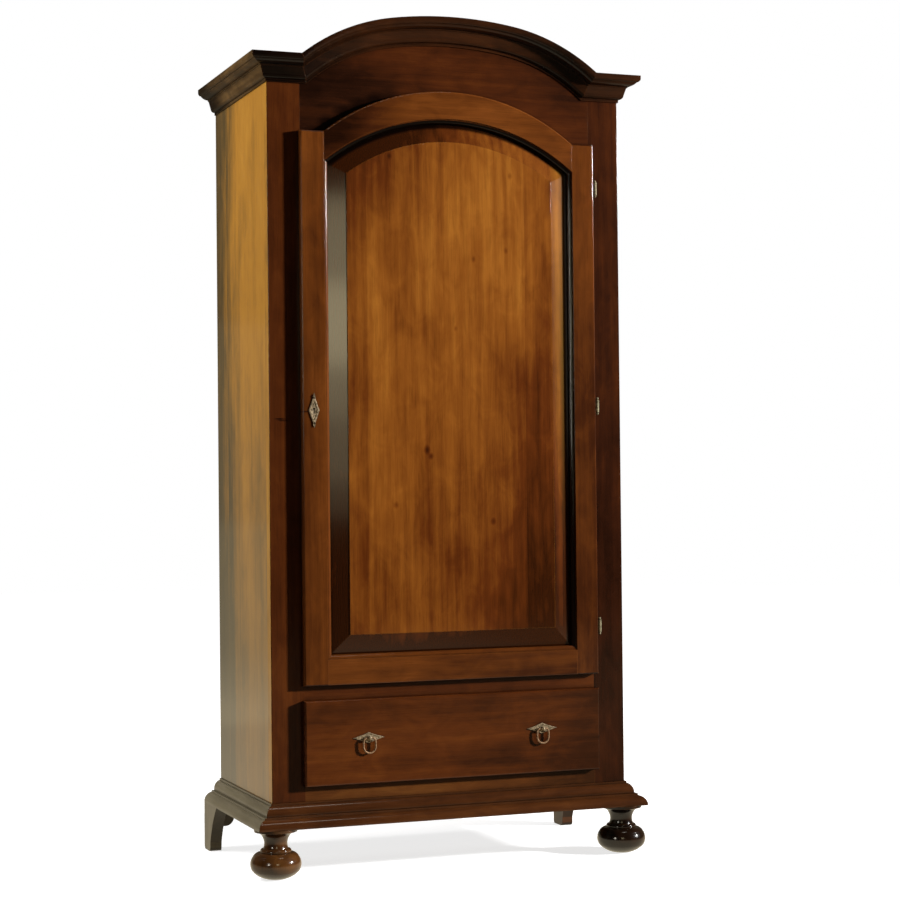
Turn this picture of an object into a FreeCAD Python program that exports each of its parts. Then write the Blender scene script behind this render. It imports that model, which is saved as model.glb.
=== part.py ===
"""Bonnetiere: a tall single-door cupboard with an arched cornice, in stained wood.

Millimetres, +Z up. The origin lies on the floor, at the middle of the overall width
and depth. The front faces -Y and the door's hinges are on the +X side.
Every piece that a joiner would make is a solid of its own, with a STEP file of its own.
"""
import FreeCAD, Part
import math
import os

os.makedirs("parts", exist_ok=True)
V = FreeCAD.Vector

# ---- driving dimensions: the carcass ---------------------------------------------------
WIDTH = 934.0            # over the two sides
DEPTH = 490.0            # from the face frame to the back
HEIGHT = 2100.0          # from the floor to the top of the arch
FOOT_H = 121.0
BASE_H = 59.0
BASE_PROJ = 45.0         # how far the base moulding stands out
BUN_R = 61.5             # front feet: radius, and where their centre stands
FOOT_X = 458.0
FOOT_Y = 3.5             # behind the face frame
BUN_FLAT = 18.0          # radius of the part that touches the floor
BUN_TOP_R = 52.0
REAR_FOOT_T = 30.0       # thickness of a rear foot's board
REAR_EAR_T = 22.0        # and of its scrolled ear
REAR_EAR_Z = 57.0        # lowest line of the ear
CORNICE_PROJ = 47.0
CORNICE_H = 65.0
CORNICE_Z = 1921.0       # underside of the straight cornice
ARCH_R = 950.0           # underside of the arched cornice: its flatter middle
ARCH_TURN = 9.0          # degrees of that curve on each side of the middle
FLANK_R = 429.0          # and the rounder curve that follows on each side
FRAME_T = 28.0           # thickness of the face frame
STILE_W = 83.0
SIDE_T = 22.0
BACK_T = 12.0
REAR_STILE_W = 104.0
TOP_Z = 1975.0           # top of the stiles and sides, hidden behind the cornice
CROWN_R = 715.0          # the frieze's round top, hidden behind the arched cornice
CROWN_C = 1360.0         # height of its centre
TOP_BOARD_Z = 1930.0
BACK_Z = 141.0           # lower end of the back planks
BACK_TOP = 1948.0
RAIL_T = 24.0            # thickness of the rear rail
SHELVES = (830.0, 1196.0, 1562.0)
SHELF_T = 20.0
BOARD_T = 18.0
CLEAT_W = 20.0
CLEAT_H = 26.0
TENON_T = 10.0           # tenons of the face frame's rails
TENON_L = 40.0

# ---- driving dimensions: door ----------------------------------------------------------
LIP = 22.0               # how far door and drawer stand proud of the face frame
OVERLAP = 5.0            # how far their lips cover the frame
LIP_GAP = 0.5            # air between a lip and the frame
TONGUE = 8.0             # how far door and drawer front reach into their openings
FIT = 2.5                # air around them inside their openings
ROUND = 4.0              # radius of their softened front edges
DOOR_Z = 459.0
DOOR_ARCH_C = 1385.0     # height of the centre of the door's outer arch
DOOR_ARCH_R = 534.0
DOOR_STILE = 59.5        # flat of a door stile, without its moulding
STICK = 11.0             # width of the moulding on the frame's inner edge
STICK_QUIRK = 3.0        # small step where that moulding starts
STICK_DEEP = 8.5
INNER_Z = 533.0          # lower edge of the visible panel
INNER_ARCH_C = 1328.5
INNER_ARCH_R = 511.0
BEVEL = 45.5             # sloped border of the raised panel
FIELD_STEP = 1.5         # small step between that border and the flat field
PANEL_FIELD = 17.5       # how far the flat field stands in front of the face frame
PANEL_EDGE = 5.0         # and how far the panel's thin edge does
PANEL_BACK = 3.0         # how far its back lies behind the face frame's plane
GROOVE = 12.0            # depth of the groove that holds the panel
DOOR_TENON_T = 10.0
DOOR_TENON_L = 38.0

# ---- driving dimensions: drawer and hardware --------------------------------------------
DRAWER_Z = 217.0
DRAWER_TOP = 423.0
DRAWER_DEEP = 420.0
DRAWER_SIDE_T = 12.0
DRAWER_BOTTOM_T = 8.0
PULL_X = 229.0
PULL_Z = 329.0
PULL_OUT = 8.5           # from the drawer front to the axis of the ring
WIRE = 2.2               # radius of the ring's wire
HINGE_X = 399.0
HINGE_Y = -8.0           # hinge axis, from the plane of the face frame
HINGE_ZS = (579.0, 1139.0, 1695.0)
KNUCKLE_R = 4.6
KNUCKLE_H = 15.5
KNUCKLE_GAP = 0.4        # air between the two knuckles of a hinge
PIN_R = 2.5
PIN_BORE = 2.56
FINIAL_R = 3.4
FINIAL_OUT = 3.0         # from the end of a knuckle to the middle of its finial
FINIAL_NECK_R = 2.0
LEAF_T = 2.2
PLATE_T = 1.6            # escutcheon and pull plates
KEY_X = -360.5
KEY_Z = 1125.0
BOLT_H = 24.0            # the lock's bolt
BOLT_T = 9.0
BOLT_Y = 15.0            # its middle, behind the face frame's plane
BOLT_IN = 2.8            # how far its end stands back from the post
BOLT_L = 40.0
CASE_W = 78.0
CASE_H = 84.0
CASE_T = 14.0

# ---- worked out from them ----------------------------------------------------------------
F = -(DEPTH + FOOT_Y - BUN_R) / 2.0      # plane of the face frame
B = F + DEPTH                            # plane of the back
HALF = WIDTH / 2.0
OPEN_X = HALF - STILE_W                  # half width of the two openings
DOOR_X = OPEN_X + OVERLAP
FLAT_X = DOOR_X - DOOR_STILE             # the flat of a door stile ends here
INNER_X = FLAT_X - STICK                 # half width of the visible panel
FLAT_Z = INNER_Z - STICK
INNER_SPRING = INNER_ARCH_C + math.sqrt(INNER_ARCH_R ** 2 - INNER_X ** 2)
FLAT_SPRING = INNER_ARCH_C + math.sqrt((INNER_ARCH_R + STICK) ** 2 - FLAT_X ** 2)
DOOR_SHOULDER = DOOR_ARCH_C + math.sqrt(DOOR_ARCH_R ** 2 - FLAT_X ** 2)
HEAD_TENON = (FLAT_SPRING + 19, DOOR_SHOULDER - 13)
FOOT_TENON = (DOOR_Z + 14, INNER_Z - 18)
HEAD_LOW = DOOR_SHOULDER - OVERLAP       # shoulder of the frieze, behind the door's lip
ARCH_C = HEIGHT - CORNICE_H - ARCH_R     # height of the centre of the cornice arch's middle
FLANK_X = (ARCH_R - FLANK_R) * math.sin(math.radians(ARCH_TURN))
FLANK_C = ARCH_C + (ARCH_R - FLANK_R) * math.cos(math.radians(ARCH_TURN))
BASE_Z = FOOT_H + BASE_H
MID_RAIL = (DRAWER_TOP - OVERLAP, DOOR_Z + OVERLAP)
RAIL_TOP = DRAWER_Z + OVERLAP            # top of the bottom rail
FLOOR_TOP = MID_RAIL[1]
IN_X = HALF - SIDE_T                     # inner face of a side
BACK_Y = B - BACK_T                      # inner face of the back
FRAME_BACK = F + FRAME_T
LIP_FACE = F - LIP
LIP_BACK = F - LIP_GAP
TONGUE_BACK = F + TONGUE
PLATE_Y = LIP_FACE - PLATE_T             # face of the brass plates
BOLT_Z = (KEY_Z - BOLT_H / 2.0, KEY_Z + BOLT_H / 2.0)
NEAR = F - 50.0                          # two planes clear of the door, before and behind
FAR = F + 50.0
HUGE = 3000.0


# ---- helpers -------------------------------------------------------------------------------
def box(x0, x1, y0, y1, z0, z1):
    """A box between two corners."""
    return Part.makeBox(x1 - x0, y1 - y0, z1 - z0, V(x0, y0, z0))


def mirrored(shape):
    """The same piece for the other side of the cupboard."""
    return shape.mirror(V(0, 0, 0), V(1, 0, 0))


def fused(pieces):
    """One solid from overlapping or touching ones."""
    whole = pieces[0]
    for piece in pieces[1:]:
        whole = whole.fuse(piece)
    return whole.removeSplitter()


def save(name, shape):
    """Write one piece, or a set of identical pieces, to its STEP file."""
    shape.exportStep("parts/" + name + ".step")
    print(name, len(shape.Solids), shape.isValid(), round(shape.Volume / 1000.0, 2), "cm3")


def outline(path):
    """A closed wire from points; a triple of points is an arc, a pair a straight line."""
    edges = []
    for step in path:
        if len(step) == 3:
            edges.append(Part.Arc(*step).toShape())
        else:
            edges.append(Part.LineSegment(*step).toShape())
    return Part.Wire(edges)


def polygon_prism(corners, direction):
    """A prism from a flat polygon, pushed along a direction."""
    return Part.Face(Part.makePolygon(corners + corners[:1])).extrude(direction)


def plan_prism(points, z0, z1):
    """A prism standing on a polygon given in plan, as X and Y."""
    return polygon_prism([V(x, y, z0) for x, y in points], V(0, 0, z1 - z0))


def front_prism(points, y0, y1):
    """A prism from a polygon given in front view, as X and Z, between two depths."""
    return polygon_prism([V(x, y0, z) for x, z in points], V(0, y1 - y0, 0))


def arched(half, low, shoulder, centre, radius, y):
    """A doorway outline: straight foot and sides, level shoulders and a round head."""
    if shoulder is None:
        spring = centre + math.sqrt(radius ** 2 - half ** 2)
        neck = half
    else:
        spring = shoulder
        neck = math.sqrt(radius ** 2 - (shoulder - centre) ** 2)
    path = [(V(-half, y, low), V(half, y, low)), (V(half, y, low), V(half, y, spring))]
    if shoulder is not None:
        path.append((V(half, y, spring), V(neck, y, spring)))
    path.append((V(neck, y, spring), V(0, y, centre + radius), V(-neck, y, spring)))
    if shoulder is not None:
        path.append((V(-neck, y, spring), V(-half, y, spring)))
    path.append((V(-half, y, spring), V(-half, y, low)))
    return outline(path)


def door_edge(inset, y):
    """The door's outer outline, drawn in by an inset."""
    return arched(DOOR_X - inset, DOOR_Z + inset, DOOR_SHOULDER - inset, DOOR_ARCH_C,
                  DOOR_ARCH_R - inset, y)


def panel_edge(grow, y):
    """The outline of the visible panel, grown all round."""
    return arched(INNER_X + grow, INNER_Z - grow, None, INNER_ARCH_C, INNER_ARCH_R + grow, y)


def slab(wire, thickness):
    """A flat piece from its front outline, thickness towards the back."""
    return Part.Face(wire).extrude(V(0, thickness, 0))


# ---- mouldings: profiles are drawn as projection p and height h -----------------------------
def cornice_profile(put):
    """Fillet, ovolo, fillet, larger ovolo and a rounded nose; put(p, h) places a point."""
    top = CORNICE_H
    out = CORNICE_PROJ
    return outline([
        (put(0, 0), put(3, 0)),
        (put(3, 0), put(3, 7)),
        (put(3, 7), put(10.5, 10), put(13.5, 17)),
        (put(13.5, 17), put(19, 36)),
        (put(19, 36), put(21, 36)),
        (put(21, 36), put(21, 39)),
        (put(21, 39), put(32, 42), put(40, 49)),
        (put(40, 49), put(42, 49)),
        (put(42, 49), put(46, 53), put(out, 58)),
        (put(out, 58), put(out, top)),
        (put(out, top), put(0, top)),
        (put(0, top), put(0, 0)),
    ])


def base_profile(put):
    """Two stacked ovolos with a fillet between them, the lower one the larger."""
    top = BASE_H
    out = BASE_PROJ
    return outline([
        (put(0, 0), put(out, 0)),
        (put(out, 0), put(out, 5)),
        (put(out, 5), put(39.5, 17), put(25.5, 25)),
        (put(25.5, 25), put(25.5, 29)),
        (put(25.5, 29), put(18.5, 29)),
        (put(18.5, 29), put(16.5, 43), put(8, 53.5)),
        (put(8, 53.5), put(4, 53.5)),
        (put(4, 53.5), put(4, top)),
        (put(4, top), put(0, top)),
        (put(0, top), put(0, 0)),
    ])


def front_run(profile, z, x0, x1):
    """A length of moulding along the front."""
    wire = profile(lambda p, h: V(x0, F - p, z + h))
    return Part.Face(wire).extrude(V(x1 - x0, 0, 0))


def left_run(profile, z, y0, y1):
    """A length of moulding along the left side."""
    wire = profile(lambda p, h: V(-HALF - p, y0, z + h))
    return Part.Face(wire).extrude(V(0, y1 - y0, 0))


def mitre_front(shape):
    """Cut a front moulding at 45 degrees at the left corner."""
    corner = (-HALF, F)
    reach = 2.0 * BASE_PROJ
    waste = plan_prism([corner, (-HALF - reach, F - reach), (-HALF - reach, F + reach),
                        (-HALF, F + reach)], 0, HUGE)
    return shape.cut(waste)


def mitre_side(shape):
    """Cut a left moulding at 45 degrees at the front corner."""
    corner = (-HALF, F)
    reach = 2.0 * BASE_PROJ
    waste = plan_prism([corner, (-HALF - reach, F - reach), (-HALF + reach, F - reach),
                        (-HALF + reach, F)], 0, HUGE)
    return shape.cut(waste)


def arch_zone():
    """The room between the two mitres where the straight cornice turns into the arch."""
    low = FLANK_X + math.sqrt(FLANK_R ** 2 - (CORNICE_Z - FLANK_C) ** 2)
    high_z = CORNICE_Z + CORNICE_H
    high = FLANK_X + math.sqrt((FLANK_R + CORNICE_H) ** 2 - (high_z - FLANK_C) ** 2)
    lean = (high - low) / CORNICE_H
    reach = 150.0
    foot = low - lean * reach
    head = high + lean * reach
    return front_prism([(-foot, CORNICE_Z - reach), (foot, CORNICE_Z - reach),
                        (head, high_z + reach), (-head, high_z + reach)],
                       F - 2 * CORNICE_PROJ, F + 2 * CORNICE_PROJ)


def turned_cornice(x, z, radius, start, sweep):
    """The cornice profile turned about a centre, from an angle off the upright, rightwards."""
    centre = V(x, F, z)
    wire = cornice_profile(lambda p, h: V(x, F - p, z + radius + h))
    face = Part.Face(wire)
    face.rotate(centre, V(0, 1, 0), start)
    return face.revolve(centre, V(0, 1, 0), sweep)


def cornice_arch():
    """The arched moulding: a flatter middle, and a rounder flank on each side of it."""
    flank_sweep = 50.0
    middle = turned_cornice(0, ARCH_C, ARCH_R, -ARCH_TURN, 2 * ARCH_TURN)
    flank = turned_cornice(FLANK_X, FLANK_C, FLANK_R, ARCH_TURN, flank_sweep)
    return fused([middle, flank, mirrored(flank)]).common(arch_zone())


def make_cornice():
    """Two sides, two short straight fronts and the arch between them."""
    side = mitre_side(left_run(cornice_profile, CORNICE_Z, F - CORNICE_PROJ, B))
    front = mitre_front(front_run(cornice_profile, CORNICE_Z, -HALF - CORNICE_PROJ, 0))
    front = front.cut(arch_zone())
    save("cornice_side_left", side)
    save("cornice_side_right", mirrored(side))
    save("cornice_front_left", front)
    save("cornice_front_right", mirrored(front))
    save("cornice_arch", cornice_arch())


def make_base():
    """Base moulding on the front and both sides."""
    side = mitre_side(left_run(base_profile, FOOT_H, F - BASE_PROJ, B))
    front = mitre_front(front_run(base_profile, FOOT_H, -HALF - BASE_PROJ, 0))
    save("base_moulding_left", side)
    save("base_moulding_right", mirrored(side))
    save("base_moulding_front", fused([front, mirrored(front)]))


# ---- feet -------------------------------------------------------------------------------------
def bun_foot():
    """A turned bun foot: flattened ball, small collar, waisted neck and flared top."""
    x = FOOT_X
    y = F + FOOT_Y

    def at(r, z):
        return V(x + r, y, z)

    wire = outline([
        (at(0, 0), at(BUN_FLAT, 0)),
        (at(BUN_FLAT, 0), at(43, 8.5), at(56, 19)),
        (at(56, 19), at(BUN_R, 36), at(56, 53)),
        (at(56, 53), at(50.5, 60), at(42, 64)),
        (at(42, 64), at(37, 64)),
        (at(37, 64), at(37.5, 69), at(33.5, 73)),
        (at(33.5, 73), at(31, 73)),
        (at(31, 73), at(28, 86), at(32, 101)),
        (at(32, 101), at(38, 109), at(BUN_TOP_R, 114)),
        (at(BUN_TOP_R, 114), at(BUN_TOP_R, FOOT_H)),
        (at(BUN_TOP_R, FOOT_H), at(0, FOOT_H)),
        (at(0, FOOT_H), at(0, 0)),
    ])
    return Part.Face(wire).revolve(V(x, y, 0), V(0, 0, 1), 360)


def rear_foot():
    """A bracket foot: a tapered board along the side and a scrolled ear along the back."""
    outer = -HALF - BASE_PROJ
    root = outer + REAR_FOOT_T
    ear_y = B - REAR_EAR_T
    low = REAR_EAR_Z

    def side_at(depth, z):
        return V(outer, B - depth, z)

    def ear_at(reach, z):
        return V(root + reach, ear_y, z)

    board = outline([
        (side_at(0, FOOT_H), side_at(0, 9)),
        (side_at(0, 9), side_at(2.6, 2.6), side_at(9, 0)),
        (side_at(9, 0), side_at(50, 0)),
        (side_at(50, 0), side_at(57, 3), side_at(60, 10)),
        (side_at(60, 10), side_at(61, 24)),
        (side_at(61, 24), side_at(82, 68), side_at(126, FOOT_H)),
        (side_at(126, FOOT_H), side_at(0, FOOT_H)),
    ])
    ear = outline([
        (ear_at(0, FOOT_H), ear_at(0, low)),
        (ear_at(0, low), ear_at(22, low)),
        (ear_at(22, low), ear_at(35, low + 5), ear_at(43, low + 17)),
        (ear_at(43, low + 17), ear_at(62, low + 43), ear_at(95, FOOT_H)),
        (ear_at(95, FOOT_H), ear_at(0, FOOT_H)),
    ])
    side_board = Part.Face(board).extrude(V(REAR_FOOT_T, 0, 0))
    return fused([side_board, Part.Face(ear).extrude(V(0, REAR_EAR_T, 0))])


def make_feet():
    """Turned feet under the front corners, bracket feet under the rear ones."""
    bun = bun_foot()
    bracket = rear_foot()
    save("bun_foot_right", bun)
    save("bun_foot_left", mirrored(bun))
    save("rear_foot_left", bracket)
    save("rear_foot_right", mirrored(bracket))


# ---- face frame ---------------------------------------------------------------------------------
def tenons(z0, z1):
    """The pair of tenons at the ends of a rail of the face frame."""
    y0 = F + (FRAME_T - TENON_T) / 2.0
    y1 = y0 + TENON_T
    right = box(OPEN_X - 1, OPEN_X + TENON_L, y0, y1, z0, z1)
    return [right, mirrored(right)]


def frieze_rail():
    """The arched head of the face frame, with the door's round head cut into it."""
    top = box(-OPEN_X, OPEN_X, F, FRAME_BACK, HEAD_LOW, TOP_Z)
    crown = Part.makeCylinder(CROWN_R, FRAME_T, V(0, F, CROWN_C), V(0, 1, 0))
    crown = crown.common(box(-OPEN_X, OPEN_X, F, FRAME_BACK, TOP_Z - 1, HEIGHT))
    doorway = arched(OPEN_X + 1, DOOR_Z, HEAD_LOW, DOOR_ARCH_C, DOOR_ARCH_R - OVERLAP, F)
    board = fused([top, crown]).cut(slab(doorway, FRAME_T))
    return fused([board] + tenons(HEAD_LOW + 12, TOP_Z - 25))


def front_stile(rails):
    """The left post of the face frame, softened on its outer edge, mortised for the rails."""
    post = box(-HALF, -OPEN_X, F, FRAME_BACK, FOOT_H, TOP_Z)
    soft = [e for e in post.Edges if abs(e.BoundBox.XMax + HALF) < 0.01
            and abs(e.BoundBox.YMax - F) < 0.01 and e.BoundBox.ZLength > STILE_W]
    post = post.makeFillet(2.0, soft)
    for rail in rails:
        post = post.cut(rail)
    return post


def strike_box(deep):
    """The recess for the strike plate in the left post's inner edge, a given depth into it."""
    return box(-OPEN_X - deep, -OPEN_X, F + 5, F + 25, KEY_Z - 34, KEY_Z + 34)


def bolt_box(x0, x1, air):
    """The room of the bolt between two places across the cupboard, with air around it."""
    half = BOLT_T / 2.0 + air
    return box(x0, x1, F + BOLT_Y - half, F + BOLT_Y + half, BOLT_Z[0] - air, BOLT_Z[1] + air)


def finial(z):
    """The small ball on a short neck that ends a hinge."""
    y = F + HINGE_Y
    ball = Part.makeSphere(FINIAL_R, V(HINGE_X, y, z))
    neck_h = 2 * FINIAL_OUT + 0.5
    neck = Part.makeCylinder(FINIAL_NECK_R, neck_h, V(HINGE_X, y, z - neck_h / 2))
    return ball.fuse(neck)


def hinge_frame_half(z):
    """Lower half of a hinge: knuckle, pin and the leaf let into the post."""
    y = F + HINGE_Y
    low = z - KNUCKLE_H
    knuckle = Part.makeCylinder(KNUCKLE_R, KNUCKLE_H, V(HINGE_X, y, low))
    pin = Part.makeCylinder(PIN_R, KNUCKLE_H - 3, V(HINGE_X, y, z))
    leaf = box(HINGE_X - LEAF_T / 2, HINGE_X + LEAF_T / 2, y, F + 20, low + 1, z - 1)
    return fused([knuckle, pin, leaf, finial(low - FINIAL_OUT)])


def hinge_door_half(z):
    """Upper half of a hinge: bored knuckle and the leaf let into the door's edge."""
    y = F + HINGE_Y
    low = z + KNUCKLE_GAP
    high = low + KNUCKLE_H
    knuckle = Part.makeCylinder(KNUCKLE_R, KNUCKLE_H, V(HINGE_X, y, low))
    leaf = box(DOOR_X - 22, HINGE_X, y - LEAF_T / 2, y + LEAF_T / 2, low + 1, high - 1)
    half = fused([knuckle, leaf, finial(high + FINIAL_OUT)])
    bore = Part.makeCylinder(PIN_BORE, KNUCKLE_H - 2.5, V(HINGE_X, y, low - 0.2))
    return half.cut(bore)


def make_face_frame():
    """Posts, rails, frieze and the hardware let into them."""
    bottom = fused([box(-OPEN_X, OPEN_X, F, FRAME_BACK, FOOT_H, RAIL_TOP)]
                   + tenons(FOOT_H + 19, RAIL_TOP - 12))
    middle = fused([box(-OPEN_X, OPEN_X, F, FRAME_BACK, *MID_RAIL)]
                   + tenons(MID_RAIL[0] + 8, MID_RAIL[1] - 8))
    frieze = frieze_rail()
    rails = [bottom, middle, frieze]
    left = front_stile(rails)
    right = mirrored(left)
    strike = strike_box(1.5).cut(bolt_box(-OPEN_X - 2, -OPEN_X + 1, 1.5))
    left = left.cut(strike_box(1.5))
    left = left.cut(bolt_box(-OPEN_X - 16, -OPEN_X, 2))
    hinges = [hinge_frame_half(z) for z in HINGE_ZS]
    for hinge in hinges:
        right = right.cut(hinge)
    save("bottom_rail", bottom)
    save("mid_rail", middle)
    save("frieze_rail", frieze)
    save("front_stile_left", left)
    save("front_stile_right", right)
    save("strike_plate", strike)
    save("hinge_frame_halves", Part.makeCompound(hinges))


# ---- carcass --------------------------------------------------------------------------------------
def make_sides():
    """Each side: a wide board between the face frame and a flush rear stile."""
    split = B - REAR_STILE_W
    panel = box(-HALF, -IN_X, FRAME_BACK, split, FOOT_H, TOP_Z)
    stile = box(-HALF, -IN_X, split, B, FOOT_H, TOP_Z)
    save("side_panel_left", panel)
    save("side_panel_right", mirrored(panel))
    save("rear_stile_left", stile)
    save("rear_stile_right", mirrored(stile))


def make_back():
    """Four vertical planks with bevelled tongue-and-groove joints, and the rear rail."""
    count = 4
    pitch = 2.0 * IN_X / count
    tongue = 6.0
    for i in range(count):
        x0 = -IN_X + i * pitch
        plank = box(x0, x0 + pitch, BACK_Y, B, BACK_Z, BACK_TOP)
        groove = box(x0 - 1, x0 + tongue, BACK_Y + 4, BACK_Y + 8, 0, HUGE)
        if i > 0:
            plank = plank.cut(groove)
        if i < count - 1:
            ridge = box(x0 + pitch - 1, x0 + pitch + tongue - 0.5, BACK_Y + 4.1, BACK_Y + 7.9,
                        BACK_Z, BACK_TOP)
            plank = fused([plank, ridge])
        save("back_plank_%d" % (i + 1), plank)
    save("back_rail", box(-IN_X, IN_X, BACK_Y - RAIL_T, BACK_Y, BACK_Z, BASE_Z))


def make_boards():
    """Top, cupboard floor, drawer floor, shelves and the cleats that carry them."""
    wide = 2.0 * IN_X
    deep = BACK_Y - FRAME_BACK
    for name, z in (("top_board", TOP_BOARD_Z), ("cupboard_floor", FLOOR_TOP - BOARD_T),
                    ("drawer_floor", BASE_Z)):
        save(name, Part.makeBox(wide, deep, BOARD_T, V(-IN_X, FRAME_BACK, z)))
    for i, z in enumerate(SHELVES):
        front = FRAME_BACK + 14
        shelf = box(-IN_X + 0.5, IN_X - 0.5, front, BACK_Y - 1, z, z + SHELF_T)
        edge = [e for e in shelf.Edges if abs(e.BoundBox.YMax - front) < 0.01
                and e.BoundBox.XLength > IN_X]
        save("shelf_%d" % (i + 1), shelf.makeFillet(3.0, edge))
    cleats = [box(-IN_X, -IN_X + CLEAT_W, FRAME_BACK + 20, BACK_Y - 1, z - CLEAT_H, z)
              for z in SHELVES]
    left = Part.makeCompound(cleats)
    save("shelf_cleats_left", left)
    save("shelf_cleats_right", mirrored(left))


def make_drawer_guides():
    """Runners that carry the drawer and guides that keep it straight."""
    runner = box(-IN_X, -OPEN_X + 34, FRAME_BACK, BACK_Y, BASE_Z + BOARD_T, RAIL_TOP)
    guide = box(-IN_X, -OPEN_X, FRAME_BACK, BACK_Y, RAIL_TOP, RAIL_TOP + 34)
    kicker = box(-OPEN_X, -OPEN_X + 30, FRAME_BACK, BACK_Y, MID_RAIL[0] + 2,
                 FLOOR_TOP - BOARD_T)
    for name, piece in (("drawer_runner", runner), ("drawer_guide", guide),
                        ("drawer_kicker", kicker)):
        save(name + "_left", piece)
        save(name + "_right", mirrored(piece))


# ---- door --------------------------------------------------------------------------------------------
def sticking(put, reach):
    """Section of what is cut from a frame piece's inner edge, so that an ovolo stays.

    put(d, y) places a point d outside the visible panel's edge, at depth y.
    """
    front = LIP_FACE - 1
    back = TONGUE_BACK + 1
    start = LIP_FACE + STICK_QUIRK
    return outline([
        (put(-reach, front), put(STICK, front)),
        (put(STICK, front), put(STICK, start)),
        (put(STICK, start), put(0.29 * STICK, start + 0.29 * STICK_DEEP),
         put(0, start + STICK_DEEP)),
        (put(0, start + STICK_DEEP), put(0, back)),
        (put(0, back), put(-reach, back)),
        (put(-reach, back), put(-reach, front)),
    ])


def door_piece(lip, zone):
    """A frame piece: its lip, with the part of the door's inner tongue that lies behind it."""
    tongue = slab(door_edge(OVERLAP + FIT, LIP_BACK), TONGUE_BACK - LIP_BACK)
    return fused([lip, tongue.common(zone)])


def front_edges(shape, test):
    """Edges of a shape that lie in the plane of the door's face and pass a test."""
    return [e for e in shape.Edges if abs(e.BoundBox.YMax - LIP_FACE) < 0.01
            and test(e.BoundBox)]


def door_stile():
    """Left stile, with the ovolo on its inner edge mitred at both ends."""
    lip = box(-DOOR_X, -INNER_X, LIP_FACE, LIP_BACK, DOOR_Z, DOOR_SHOULDER)
    lip = lip.makeFillet(ROUND, front_edges(lip, lambda b: b.XMin < -INNER_X - 1))
    stile = door_piece(lip, box(-DOOR_X, -INNER_X, NEAR, FAR, 0, HEIGHT))
    wire = sticking(lambda d, y: V(-INNER_X - d, y, DOOR_Z - 5), 20)
    stile = stile.cut(Part.Face(wire).extrude(V(0, 0, DOOR_SHOULDER - DOOR_Z + 10)))
    low = [(-FLAT_X, 0), (-FLAT_X, FLAT_Z), (-INNER_X, INNER_Z), (0, INNER_Z), (0, 0)]
    high = [(-FLAT_X, HEIGHT), (-FLAT_X, FLAT_SPRING), (-INNER_X, INNER_SPRING),
            (0, INNER_SPRING), (0, HEIGHT)]
    for corners in (low, high):
        stile = stile.cut(front_prism(corners, NEAR, FAR))
    return stile


def door_bottom_rail():
    """Bottom rail with the ovolo on its upper edge, mitred into the stiles."""
    lip = box(-FLAT_X, FLAT_X, LIP_FACE, LIP_BACK, DOOR_Z, INNER_Z)
    lip = lip.makeFillet(ROUND, front_edges(lip, lambda b: b.ZMax < DOOR_Z + 1))
    rail = door_piece(lip, box(-FLAT_X, FLAT_X, NEAR, FAR, 0, INNER_Z))
    wire = sticking(lambda d, y: V(-FLAT_X - 5, y, INNER_Z - d), 20)
    rail = rail.cut(Part.Face(wire).extrude(V(2 * FLAT_X + 10, 0, 0)))
    waste = front_prism([(-FLAT_X, FLAT_Z), (-INNER_X, INNER_Z), (-INNER_X, HEIGHT),
                         (-FLAT_X, HEIGHT)], NEAR, FAR)
    rail = rail.cut(waste).cut(mirrored(waste))
    return fused([rail] + door_tenon(*FOOT_TENON))


def door_arched_rail():
    """Head of the door, with a round outer edge and the ovolo turned along its inner arch."""
    low = INNER_SPRING - 40
    plate = box(-FLAT_X, FLAT_X, LIP_FACE, LIP_BACK, low, HEIGHT)
    disc = Part.makeCylinder(DOOR_ARCH_R, LIP_BACK - LIP_FACE, V(0, LIP_FACE, DOOR_ARCH_C),
                             V(0, 1, 0))
    lip = plate.common(disc)
    lip = lip.makeFillet(ROUND, front_edges(lip, lambda b: b.ZMax > DOOR_SHOULDER + 50))
    rail = door_piece(lip, box(-FLAT_X, FLAT_X, NEAR, FAR, low, HEIGHT))
    wire = sticking(lambda d, y: V(0, y, INNER_ARCH_C + INNER_ARCH_R + d), 300)
    axis = V(0, F, INNER_ARCH_C)
    face = Part.Face(wire)
    face.rotate(axis, V(0, 1, 0), -50)
    rail = rail.cut(face.revolve(axis, V(0, 1, 0), 100))
    waste = front_prism([(-FLAT_X, FLAT_SPRING), (-INNER_X, INNER_SPRING),
                         (-INNER_X, 0), (-HALF, 0), (-HALF, FLAT_SPRING)], NEAR, FAR)
    rail = rail.cut(waste).cut(mirrored(waste))
    return fused([rail] + door_tenon(*HEAD_TENON))


def raised_panel():
    """A panel with a flat arched field and a wide bevel that runs out to its thin edge."""
    edge_y = F - PANEL_EDGE
    bevel_y = F - PANEL_FIELD + FIELD_STEP
    flat = slab(panel_edge(GROOVE - 1, edge_y), PANEL_EDGE + PANEL_BACK)
    bevel = Part.makeLoft([panel_edge(-BEVEL, bevel_y), panel_edge(0, edge_y)], True, True)
    core = slab(panel_edge(-BEVEL, bevel_y), edge_y - bevel_y + 1)
    field = slab(panel_edge(-BEVEL - FIELD_STEP, F - PANEL_FIELD), 2 * FIELD_STEP)
    return fused([flat, bevel, core, field])


def panel_groove():
    """The room for the panel's edge in the frame pieces around it."""
    air = 0.1
    return slab(panel_edge(GROOVE, F - PANEL_EDGE - air), PANEL_EDGE + PANEL_BACK + 2 * air)


def door_tenon(z0, z1):
    """A pair of tenons for one rail of the door."""
    left = box(-FLAT_X - DOOR_TENON_L, -FLAT_X + 1, F - DOOR_TENON_T, F, z0, z1)
    return [left, mirrored(left)]


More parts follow.
